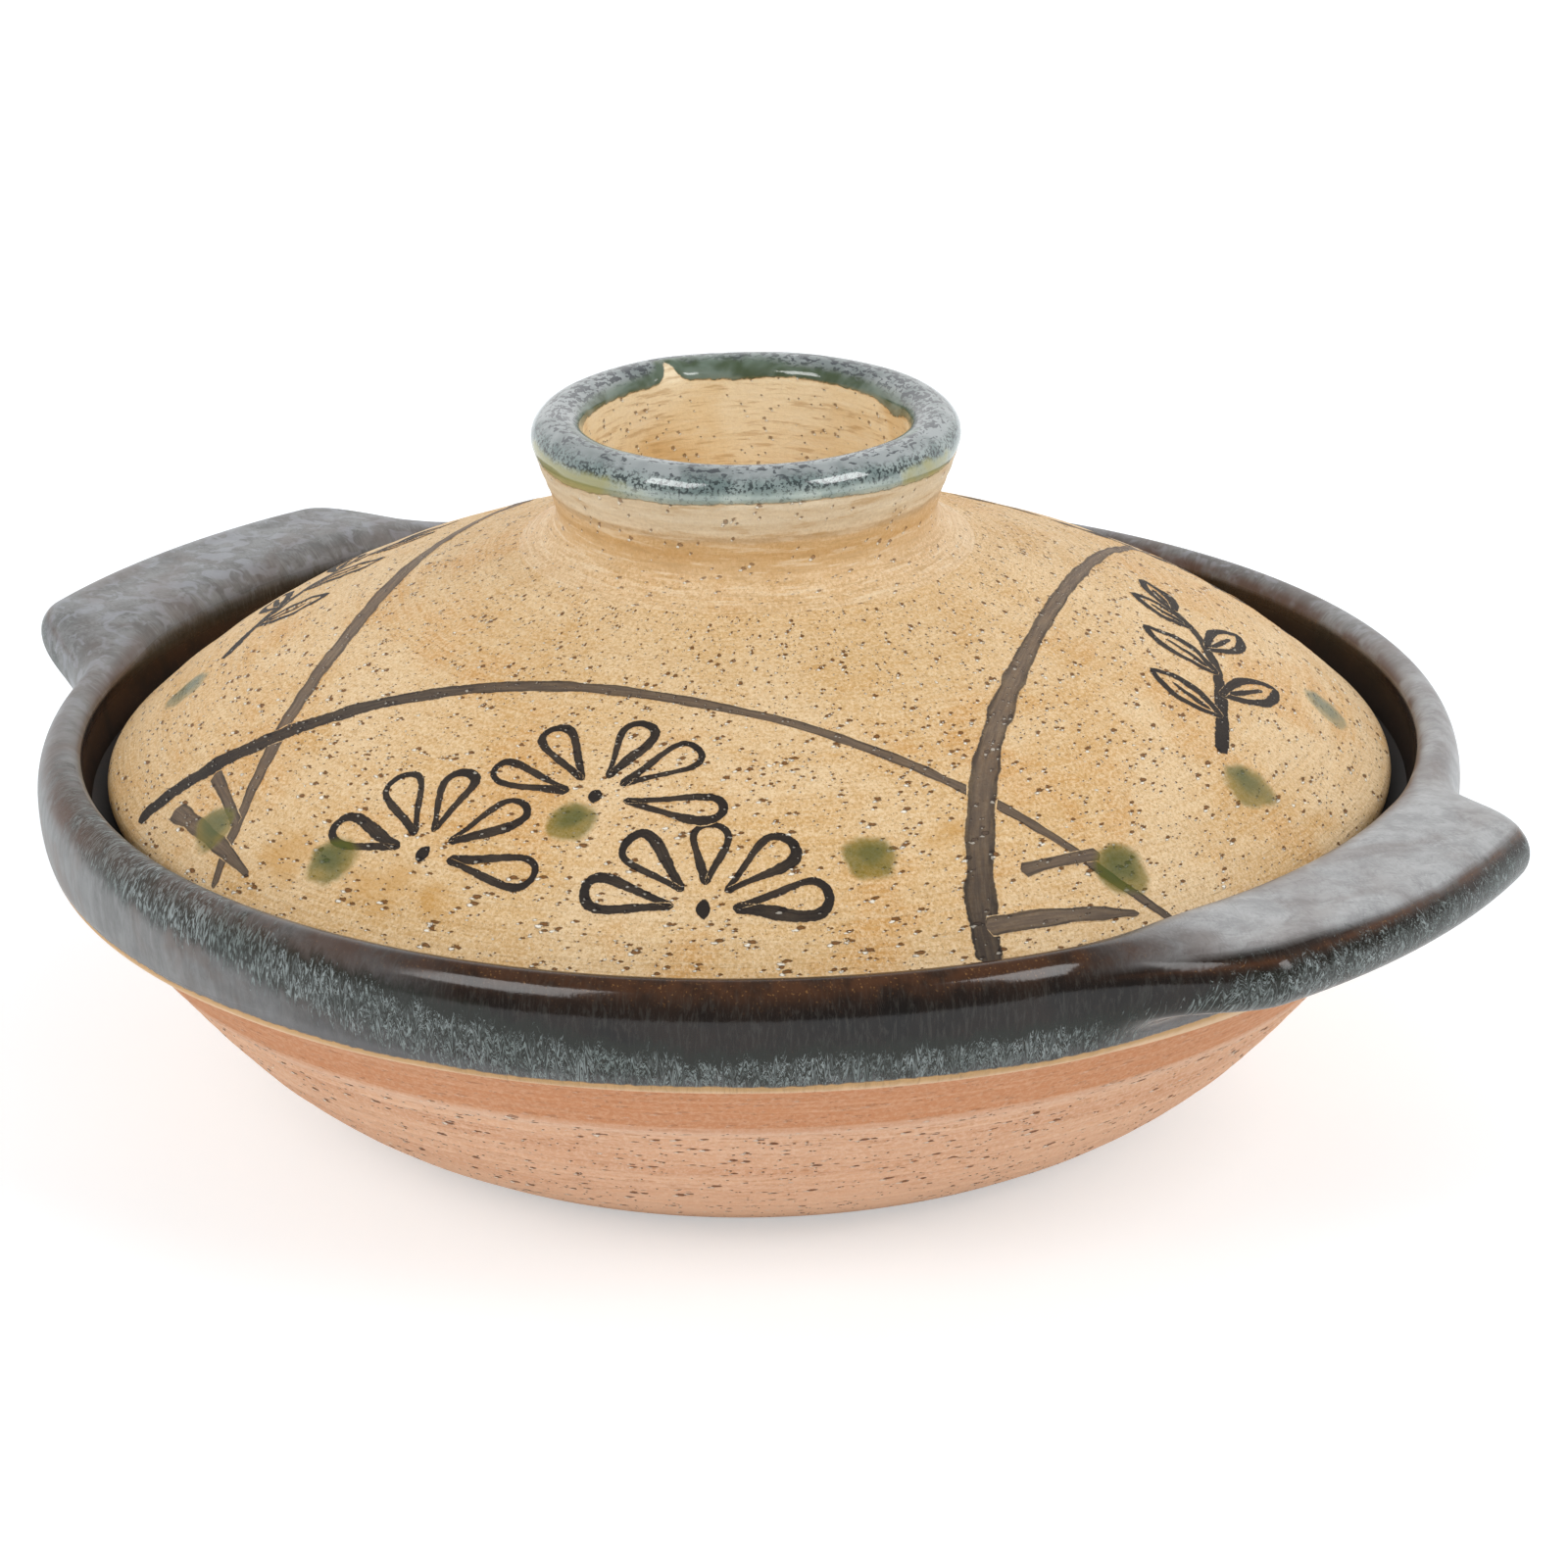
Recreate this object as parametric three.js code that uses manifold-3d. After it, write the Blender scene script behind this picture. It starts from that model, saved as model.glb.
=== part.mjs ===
// A shallow lidded clay pot for cooking on the table: a turned bowl with a rolled rim, two lug
// handles luted to the rim, a domed lid that drops into a gallery inside the rim, and the open
// ring on the lid that serves as its knob.
// Millimetres, +Z up. The origin is the centre of the base, on the table. The lugs lie along X.
import * as THREE from "three";
import { mergeVertices } from "three/addons/utils/BufferGeometryUtils.js";
import Module from "manifold-3d";

const wasm = await Module();
wasm.setup();

// Facets
const ROUND_STEPS = 72; // round every turned piece
const VENT_STEPS = 16; // round the steam vent
const LUG_STEPS = 32; // along a lug

// Clearances
const LUTE_GAP = 0.3; // the slip joint between two pieces of clay
const SEAT_GAP = 0.3; // between the lid's foot and the seat in the rim
const LID_CLEARANCE = 3.2; // all round, between the lid's edge and the gallery wall

// Bowl
const POT_HEIGHT = 56.8; // table to the crest of the rim
const BASE_R = 59.5; // flat base
const WALL = 7.5; // bowl wall
const FLOOR = 8; // bowl floor
const BASE_ANGLE = 23; // slope of the wall where it leaves the base, degrees
const BOWL_ANGLE = 48; // slope of the wall under the rim, degrees

// Rolled rim, with the gallery and the seat for the lid inside it
const RIM_OUTER_R = 108.5;
const RIM_BAND = 16.3; // height of the rolled band
const RIM_BULGE = 7; // crest of the rim down to its widest point
const RIM_LEDGE = 2.7; // how far the lower edge of the band lies inside the widest point
const LEDGE_STEP = 1.8; // the step from the band's lower edge in to the bowl
const CREST_INSET = 3.9; // widest point in to the crest
const MOUTH_INSET = 6.9; // widest point in to the inner edge of the crest
const MOUTH_DROP = 2.8; // crest down to that inner edge
const GALLERY_TAPER = 0.6; // how far the gallery narrows from its mouth to the seat
const SEAT_DEPTH = 9.3; // crest down to the seat
const SEAT_WIDTH = 12; // gallery wall in to the edge of the seat
const SEAT_ROUND = 2; // radius of the seat's inner edge

// Lug handles
const LUG_REACH = 17; // beyond the rim
const LUG_HALF_WIDTH = 29.5; // half of the straight part of the outer edge
const LUG_FLARE = 22; // how far each end runs along the rim while it fades into it
const LUG_THICK = 11.2;
const LUG_ROUND = 6; // how far in the rounding of the outer edge starts
const LUG_TILT = 6; // upward tilt, degrees
const LUG_LIFT = 2.8; // how far the outer edge stands above the crest of the rim
const LUG_ROOT = 4; // how far the slab reaches in before the rim is cut from it

// Lid
const LID_RISE = 37; // foot to the top of the crown
const LID_WALL = 6.5;
const LID_EDGE_R = 2.4; // radius of the lid's rounded edge
const LID_EDGE_ANGLE = 43; // slope of the dome at its edge, degrees
const SHOULDER_R = 48; // where the dome turns up towards the crown
const SHOULDER_DROP = 5.2; // crown down to the shoulder
const SHOULDER_ANGLE = 20; // slope of the dome at the shoulder, degrees
const CROWN_R = 34.4; // the crown, which carries the knob
const VENT_R = 3.8; // steam vent
const VENT_AT_R = 70; // its distance from the axis
const VENT_ANGLE = 130; // degrees from the right lug, on the side away from the front

// Knob: an open ring with a waisted neck and a rolled lip
const KNOB_HEIGHT = 20.8; // crown to the top of the lip
const KNOB_BORE_R = 23.8; // at the crown
const NECK_R = 29; // waist, outside
const NECK_RISE = 5.4; // crown up to the waist
const NECK_PULL = 0.25; // how long the neck stays upright at its waist and under its lip
const LIP_OUTER_R = 32.3;
const LIP_WIDTH = 8;
const LIP_RISE = 3.8; // widest point of the lip up to its top

// Heights and radii that follow from those
const RIM_LOW_Z = POT_HEIGHT - RIM_BAND;
const RIM_WIDE_Z = POT_HEIGHT - RIM_BULGE;
const LEDGE_R = RIM_OUTER_R - RIM_LEDGE;
const BOWL_TOP_R = LEDGE_R - LEDGE_STEP;
const CREST_R = RIM_OUTER_R - CREST_INSET;
const MOUTH_R = RIM_OUTER_R - MOUTH_INSET;
const GALLERY_R = MOUTH_R - GALLERY_TAPER;
const SEAT_Z = POT_HEIGHT - SEAT_DEPTH;
const SEAT_INNER_R = GALLERY_R - SEAT_WIDTH;
const LID_R = GALLERY_R - LID_CLEARANCE;
const LID_FOOT_Z = SEAT_Z + SEAT_GAP;
const CROWN_Z = LID_FOOT_Z + LID_RISE;
const KNOB_Z = CROWN_Z + LUTE_GAP;
const LIP_Z = CROWN_Z + KNOB_HEIGHT - LIP_RISE;

const point = (r, z) => new THREE.Vector2(r, z);
const degrees = THREE.MathUtils.degToRad;
const heading = (angle) => point(Math.cos(degrees(angle)), Math.sin(degrees(angle)));
const along = (from, angle, length) => from.clone().addScaledVector(heading(angle), length);

// Outlines: each helper gives the points of one stretch of a profile

function bezier(from, leave, arrive, to, steps) {
  return new THREE.CubicBezierCurve(from, leave, arrive, to).getPoints(steps);
}

function bend(from, corner, to, steps) {
  return new THREE.QuadraticBezierCurve(from, corner, to).getPoints(steps);
}

function arc(centre, radiusR, radiusZ, start, end, steps) {
  const clockwise = end < start;
  return new THREE.EllipseCurve(
    centre.x, centre.y, radiusR, radiusZ, degrees(start), degrees(end), clockwise,
  ).getPoints(steps);
}

// A smooth stretch that leaves one point at an angle and comes into the other at an angle
function sweep(from, leaveAngle, to, arriveAngle, steps, pull = 0.4) {
  const reach = from.distanceTo(to) * pull;
  return bezier(from, along(from, leaveAngle, reach), along(to, arriveAngle + 180, reach), to, steps);
}

// Solids

function turned(profile) {
  const geometry = new THREE.LatheGeometry(profile, ROUND_STEPS);
  return geometry.rotateX(Math.PI / 2);
}

function solid(geometry) {
  const bare = geometry.clone();
  bare.deleteAttribute("normal");
  bare.deleteAttribute("uv");
  const merged = mergeVertices(bare, 1e-4);
  return new wasm.Manifold(
    new wasm.Mesh({
      numProp: 3,
      vertProperties: new Float32Array(merged.attributes.position.array),
      triVerts: new Uint32Array(merged.index.array),
    }),
  );
}

function geometryOf(shape) {
  const mesh = shape.getMesh();
  const geometry = new THREE.BufferGeometry();
  geometry.setAttribute("position", new THREE.BufferAttribute(mesh.vertProperties, 3));
  geometry.setIndex(new THREE.BufferAttribute(mesh.triVerts, 1));
  geometry.computeVertexNormals();
  return geometry;
}

// Materials, from the fired clay and the glazes
const redClay = new THREE.MeshStandardMaterial({ color: 0xc08a68, roughness: 0.85, metalness: 0 });
const darkGlaze = new THREE.MeshStandardMaterial({ color: 0x4a4c4c, roughness: 0.2, metalness: 0 });
const buffClay = new THREE.MeshStandardMaterial({ color: 0xd2ac74, roughness: 0.7, metalness: 0 });
const lipGlaze = new THREE.MeshStandardMaterial({ color: 0x708885, roughness: 0.2, metalness: 0 });

// The outside of the bowl and of the rolled rim, from the base up to the crest
function potOutside(grow = 0) {
  const base = point(BASE_R + grow, 0);
  const bowlTop = point(BOWL_TOP_R + grow, RIM_LOW_Z);
  const wide = point(LEDGE_R, RIM_WIDE_Z);
  const crest = point(CREST_R, RIM_WIDE_Z);
  return [
    ...sweep(base, BASE_ANGLE, bowlTop, BOWL_ANGLE, 9),
    ...arc(wide, RIM_LEDGE + grow, RIM_WIDE_Z - RIM_LOW_Z, -90, 0, 5),
    ...arc(crest, CREST_INSET + grow, RIM_BULGE + grow, 0, 90, 6).slice(1),
  ];
}

// The bowl: flat base, rolled rim, gallery, seat, and the hollow inside
function potBowl() {
  const crest = point(CREST_R, POT_HEIGHT - MOUTH_DROP);
  const seatEdge = point(SEAT_INNER_R + SEAT_ROUND, SEAT_Z - SEAT_ROUND);
  const inward = along(point(BOWL_TOP_R, RIM_LOW_Z), BOWL_ANGLE + 90, WALL);
  const wallTop = point(Math.min(inward.x, SEAT_INNER_R), SEAT_Z - SEAT_ROUND);
  const floorEdge = point(along(point(BASE_R, 0), BASE_ANGLE + 90, WALL).x, FLOOR);
  const profile = [
    point(0, 0),
    ...potOutside(),
    ...arc(crest, CREST_R - MOUTH_R, MOUTH_DROP, 90, 180, 4).slice(1),
    point(GALLERY_R, SEAT_Z),
    ...arc(seatEdge, seatEdge.x - wallTop.x, SEAT_ROUND, 90, 180, 4),
    ...sweep(wallTop, BOWL_ANGLE + 180, floorEdge, BASE_ANGLE / 2 + 180, 9).slice(1),
    point(0, FLOOR),
  ];
  return turned(profile);
}

// How far a lug stands out at a turn from its middle: the whole reach over the straight part of its
// outer edge, then a rounded corner and a long hollow flare down to the rim
function lugReach(turn) {
  const outerTurn = LUG_HALF_WIDTH / (RIM_OUTER_R + LUG_REACH);
  const rimTurn = (LUG_HALF_WIDTH + LUG_FLARE) / RIM_OUTER_R;
  const share = THREE.MathUtils.clamp((rimTurn - Math.abs(turn)) / (rimTurn - outerTurn), 0, 1);
  return LUG_REACH * THREE.MathUtils.smoothstep(share ** 1.7, 0, 1);
}

// One cross-section of a lug's slab: from its root under the rim out to a rounded edge, tilted up.
// Its lift fades with its reach, so the ends of the lug sink into the rim.
function lugSection(turn) {
  const reach = lugReach(turn);
  const outerR = RIM_OUTER_R + reach;
  const half = LUG_THICK / 2;
  const middleZ = POT_HEIGHT + (LUG_LIFT * reach) / LUG_REACH - half;
  const edge = point(outerR - LUG_ROUND, 0);
  const outline = [
    point(RIM_OUTER_R - LUG_ROOT, -half),
    ...arc(edge, LUG_ROUND, half, -90, 90, 8),
    point(RIM_OUTER_R - LUG_ROOT, half),
  ];
  const rise = Math.tan(degrees(LUG_TILT));
  const tipR = RIM_OUTER_R + LUG_REACH;
  const place = (p) => [
    p.x * Math.cos(turn),
    p.x * Math.sin(turn),
    middleZ + p.y + (p.x - tipR) * rise,
  ];
  return outline.map(place);
}

// The slab: the cross-sections joined round the rim, closed at both ends
function lugSlab() {
  const farTurn = (LUG_HALF_WIDTH + LUG_FLARE) / RIM_OUTER_R;
  const sections = [];
  for (let i = 0; i <= LUG_STEPS; i += 1) {
    sections.push(lugSection(farTurn * ((2 * i) / LUG_STEPS - 1)));
  }
  const count = sections[0].length;
  const index = [];
  for (let i = 0; i < LUG_STEPS; i += 1) {
    for (let j = 0; j < count; j += 1) {
      const a = i * count + j;
      const b = i * count + ((j + 1) % count);
      index.push(a, a + count, b, b, a + count, b + count);
    }
  }
  const last = LUG_STEPS * count;
  for (let j = 1; j < count - 1; j += 1) {
    index.push(0, j, j + 1, last, last + j + 1, last + j);
  }
  const geometry = new THREE.BufferGeometry();
  const places = new Float32Array(sections.flat(2));
  geometry.setAttribute("position", new THREE.BufferAttribute(places, 3));
  geometry.setIndex(index);
  return geometry;
}

// A lug: that slab with the rolled rim cut out of it
function lugHandle() {
  const rim = turned([point(0, 0), ...potOutside(LUTE_GAP), point(0, POT_HEIGHT + LUTE_GAP)]);
  return geometryOf(solid(lugSlab()).subtract(solid(rim)));
}

// The lid: a dome with a rounded edge, a flat crown for the knob and a steam vent
function lidDome() {
  const edge = point(LID_R - LID_EDGE_R, LID_FOOT_Z + LID_EDGE_R);
  const domeStart = along(edge, 90 - LID_EDGE_ANGLE, LID_EDGE_R);
  const shoulder = point(SHOULDER_R, CROWN_Z - SHOULDER_DROP);
  const crownEdge = point(CROWN_R, CROWN_Z);
  const innerFoot = along(domeStart, 270 - LID_EDGE_ANGLE, LID_WALL);
  innerFoot.y = LID_FOOT_Z;
  const innerShoulder = along(shoulder, 270 - SHOULDER_ANGLE, LID_WALL);
  const collar = along(shoulder, 180 - SHOULDER_ANGLE, 0.85 * (SHOULDER_R - CROWN_R));
  const hollowTop = CROWN_Z - LID_WALL;
  const hollowRun = (hollowTop - innerShoulder.y) / Math.tan(degrees(SHOULDER_ANGLE));
  const hollowCorner = point(Math.max(innerShoulder.x - hollowRun, 0), hollowTop);
  const profile = [
    ...bend(point(0, hollowTop), hollowCorner, innerShoulder, 5),
    ...sweep(innerShoulder, -SHOULDER_ANGLE, innerFoot, -LID_EDGE_ANGLE, 7).slice(1),
    ...arc(edge, LID_EDGE_R, LID_EDGE_R, -90, 90 - LID_EDGE_ANGLE, 6),
    ...sweep(domeStart, 180 - LID_EDGE_ANGLE, shoulder, 180 - SHOULDER_ANGLE, 8).slice(1),
    ...bend(shoulder, collar, crownEdge, 4).slice(1),
    point(0, CROWN_Z),
  ];
  const tall = CROWN_Z - LID_FOOT_Z;
  const turn = degrees(VENT_ANGLE);
  const drill = new THREE.CylinderGeometry(VENT_R, VENT_R, 2 * tall, VENT_STEPS);
  drill.rotateX(Math.PI / 2);
  drill.translate(VENT_AT_R * Math.cos(turn), VENT_AT_R * Math.sin(turn), CROWN_Z);
  return geometryOf(solid(turned(profile)).subtract(solid(drill)));
}

// The knob: a waisted ring with a rolled lip, open at the top
function lidKnob() {
  const foot = point(CROWN_R, KNOB_Z);
  const waist = point(NECK_R, CROWN_Z + NECK_RISE);
  const lipOuter = point(LIP_OUTER_R, LIP_Z);
  const lipCentre = point(LIP_OUTER_R - LIP_WIDTH / 2, LIP_Z);
  const bore = point(KNOB_BORE_R, KNOB_Z);
  const profile = [
    bore,
    foot,
    ...bend(foot, point(NECK_R, KNOB_Z + 0.6 * NECK_RISE), waist, 5).slice(1),
    ...sweep(waist, 90, lipOuter, 90, 6, NECK_PULL).slice(1),
    ...arc(lipCentre, LIP_WIDTH / 2, LIP_RISE, 0, 180, 8).slice(1),
    bore,
  ];
  return turned(profile);
}

// Assembly
function piece(name, geometry, material) {
  const mesh = new THREE.Mesh(geometry, material);
  mesh.name = name;
  return mesh;
}

const pot = new THREE.Group();
pot.add(piece("pot_bowl", potBowl(), redClay));
const lugs = { lug_handle_right: 0, lug_handle_left: 180 };
for (const [name, turn] of Object.entries(lugs)) {
  const lug = piece(name, lugHandle(), darkGlaze);
  lug.rotation.z = degrees(turn);
  pot.add(lug);
}

const lid = new THREE.Group();
lid.add(piece("lid_dome", lidDome(), buffClay));
lid.add(piece("lid_knob", lidKnob(), lipGlaze));

const assembly = new THREE.Group();
assembly.add(pot, lid);
export default assembly;
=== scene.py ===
"""Dresses a shallow lidded clay pot: coarse clay, iron glaze on the rim and lugs, a glazed lip on the
ring knob, and brushwork on the lid. Lengths are in millimetres until a mesh or a material is made."""

import math

import bpy
import numpy as np
from mathutils import Matrix, Vector


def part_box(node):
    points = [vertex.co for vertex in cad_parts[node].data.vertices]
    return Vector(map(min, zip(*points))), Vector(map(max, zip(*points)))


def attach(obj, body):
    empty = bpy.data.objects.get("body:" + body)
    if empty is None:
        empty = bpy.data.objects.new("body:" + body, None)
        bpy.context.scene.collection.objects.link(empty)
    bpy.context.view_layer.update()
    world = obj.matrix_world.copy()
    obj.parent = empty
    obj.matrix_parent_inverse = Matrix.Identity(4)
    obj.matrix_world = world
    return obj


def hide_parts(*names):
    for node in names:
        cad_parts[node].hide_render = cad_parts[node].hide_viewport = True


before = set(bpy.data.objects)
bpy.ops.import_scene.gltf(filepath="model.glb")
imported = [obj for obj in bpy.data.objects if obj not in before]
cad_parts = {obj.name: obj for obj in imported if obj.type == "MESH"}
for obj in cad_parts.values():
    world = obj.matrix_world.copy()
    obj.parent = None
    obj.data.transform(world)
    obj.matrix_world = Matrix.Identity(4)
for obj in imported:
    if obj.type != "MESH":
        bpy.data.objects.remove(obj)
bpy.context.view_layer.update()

MM = 0.001


def reach_of(node):
    """Highest corner of a CAD node, in millimetres."""
    return np.array(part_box(node)[1]) / MM


# Sizes that the frame gives
RIM_R, _, RIM_TOP = reach_of("pot_bowl")
LUG_TIP_R, _, LUG_TOP = reach_of("lug_handle_right")
LID_R, _, CROWN_Z = reach_of("lid_dome")
LID_FOOT_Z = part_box("lid_dome")[0].z / MM
CROWN_R, _, KNOB_TOP = reach_of("lid_knob")

# Sizes of the solids between those, which the skins follow
BASE_R = 59.5
BASE_FLAT_R = BASE_R - 1.5
FLOOR_R = BASE_R - 2.9
FLOOR_Z = 8.0
RIM_LOW = RIM_TOP - 16.3
RIM_WIDE_Z = RIM_TOP - 7.0
LEDGE_R = RIM_R - 2.7
BOWL_TOP_R = LEDGE_R - 1.8
CREST_R = RIM_R - 3.9
MOUTH_R = RIM_R - 6.9
MOUTH_Z = RIM_TOP - 2.8
GALLERY_R = MOUTH_R - 0.6
SEAT_Z = RIM_TOP - 9.3
SEAT_INNER_R = GALLERY_R - 12.0
SEAT_ROUND = 2.0
HOLLOW_LEAVES = 228  # the hollow's direction at its top, in degrees
HOLLOW_ARRIVES = 191.5  # and at its floor
LUG_HALF_WIDTH = 29.5
LUG_FLARE = 22.0
LUG_THICK = 10.0
LUG_ROUND = 6.0
LID_EDGE = 2.4
LID_WALL = 6.5
SHOULDER_R = 48.0
SHOULDER_DROP = 5.2
DOME_LEAVES = 137  # the dome's direction at its edge, in degrees
DOME_ARRIVES = 160  # and at its shoulder
VENT_R = 3.8
VENT_AT_R = 70.0
VENT_TURN = math.radians(130)
VENT_DIP = 0.7
VENT_DIP_WIDTH = 1.6
KNOB_BORE_R = 23.8
NECK_R = 29.0
NECK_RISE = 5.4
LIP_R = 32.3
LIP_WIDTH = 8.0
LIP_RISE = 3.8
LIP_GIRTH = 12.3  # over the lip, from its outer side to its inner
LIP_Z = KNOB_TOP - LIP_RISE
POLE_R = 1.5  # the innermost ring of points about the axis
BOWL_POLE_R = 2.0

# Curves in the plane of a profile: points are (radius, height)


def heading(angle):
    return np.array([math.cos(math.radians(angle)), math.sin(math.radians(angle))])


def sweep(start, leave, end, arrive, steps, pull=0.4):
    """A curve that leaves start at one angle and comes into end at another."""
    start = np.asarray(start, float)
    end = np.asarray(end, float)
    reach = pull * np.linalg.norm(end - start)
    first = start + reach * heading(leave)
    second = end - reach * heading(arrive)
    t = np.linspace(0, 1, steps + 1)[:, None]
    u = 1 - t
    return u**3 * start + 3 * u * u * t * first + 3 * u * t * t * second + t**3 * end


def bend(start, corner, end, steps):
    t = np.linspace(0, 1, steps + 1)[:, None]
    u = 1 - t
    return u * u * np.asarray(start) + 2 * u * t * np.asarray(corner) + t * t * np.asarray(end)


def arc(centre, radius_r, radius_z, start, end, steps):
    turn = np.radians(np.linspace(start, end, steps + 1))
    return np.stack([centre[0] + radius_r * np.cos(turn), centre[1] + radius_z * np.sin(turn)], 1)


def line(start, end, steps):
    t = np.linspace(0, 1, steps + 1)[:, None]
    return (1 - t) * np.asarray(start, float) + t * np.asarray(end, float)


def join(*stretches):
    points = np.vstack(stretches)
    apart = np.linalg.norm(np.diff(points, axis=0), axis=1) > 1e-6
    return points[np.concatenate([[True], apart])]


def lengths(points):
    return np.concatenate([[0], np.cumsum(np.linalg.norm(np.diff(points, axis=0), axis=1))])


def even(points, count):
    """The same curve with count points at equal distances."""
    far = lengths(points)
    at = np.linspace(0, far[-1], count)
    return np.stack([np.interp(at, far, points[:, i]) for i in range(points.shape[1])], 1)


def profile(count, *stretches):
    """Stretches joined into one curve, with count points at equal distances."""
    return even(join(*stretches), count)


def normals(points):
    """Unit normals to the right of the way a profile runs, which is out of the clay."""
    along = np.gradient(points, axis=0)
    along /= np.linalg.norm(along, axis=1)[:, None]
    return np.stack([along[:, 1], -along[:, 0]], 1)


def wander(turn, seed, waves, size):
    """A smooth closed wobble round the pot, as a hand leaves it."""
    rng = np.random.default_rng(seed)
    total = np.zeros_like(turn)
    for wave in waves:
        total = total + rng.uniform(0.4, 1.0) * np.cos(wave * turn + rng.uniform(0, 2 * math.pi))
    return size * total / len(waves)


def hump(value, middle, width):
    """1 in the middle, fading to 0 over a width."""
    return np.exp(-(((value - middle) / width) ** 2))


def ramp(value, start, length):
    """0 up to the start and 1 from a length past it; with a length below zero it runs the other way."""
    return np.clip((value - start) / length, 0, 1)


def near(turn, degrees, width):
    """1 at a turn round the pot, fading to 0 over a width in degrees."""
    return hump((np.degrees(turn) - degrees + 180) % 360 - 180, 0, width)


def rows_of(r, z, turns):
    """Rows of points round the axis, from radii and heights."""
    shape = (len(r), len(turns))
    r = np.broadcast_to(r, shape)
    z = np.broadcast_to(z, shape)
    return np.stack([r * np.cos(turns), r * np.sin(turns), z], 2)


def spun(points, turns, out=0.0):
    """A profile turned about Z, moved out along its normals."""
    away = normals(points)
    r = points[:, 0, None] + out * away[:, 0, None]
    z = points[:, 1, None] + out * away[:, 1, None]
    return rows_of(r, z, turns)


SHARP_ANGLE = math.radians(22)


def make_object(name, points, faces, sharp):
    """A smooth-shaded mesh object from points in millimetres, with creases over the sharp angle."""
    mesh = bpy.data.meshes.new(name)
    mesh.from_pydata((points * MM).tolist(), [], faces)
    mesh.polygons.foreach_set("use_smooth", np.ones(len(mesh.polygons), bool))
    mesh.set_sharp_from_angle(angle=sharp)
    thing = bpy.data.objects.new(name, mesh)
    bpy.context.scene.collection.objects.link(thing)
    return thing


def skin(name, rows, start_pole=None, end_pole=None, loop=False, **marks):
    """A closed mesh from rows of points round the axis, with a number for each point in each mark."""
    count, around, _ = rows.shape
    grid = np.arange(count * around).reshape(count, around)
    following = np.roll(grid, -1, axis=1)
    above, above_next = np.roll(grid, -1, axis=0), np.roll(following, -1, axis=0)
    faces = np.stack([grid, following, above_next, above], 2)
    faces = (faces if loop else faces[:-1]).reshape(-1, 4).tolist()
    points = rows.reshape(-1, 3)
    for pole, a, b in ((start_pole, following[0], grid[0]), (end_pole, grid[-1], following[-1])):
        if pole is not None:
            faces += [[len(points), *pair] for pair in zip(a.tolist(), b.tolist())]
            points = np.vstack([points, pole])
    thing = make_object(name, points, faces, SHARP_ANGLE)
    for mark, values in marks.items():
        values = np.asarray(values, np.float32).reshape(-1)
        values = np.concatenate([values, np.repeat(values[-1:], len(points) - len(values))])
        thing.data.attributes.new(mark, "FLOAT", "POINT").data.foreach_set("value", values)
    return thing


# Node graphs


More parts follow.
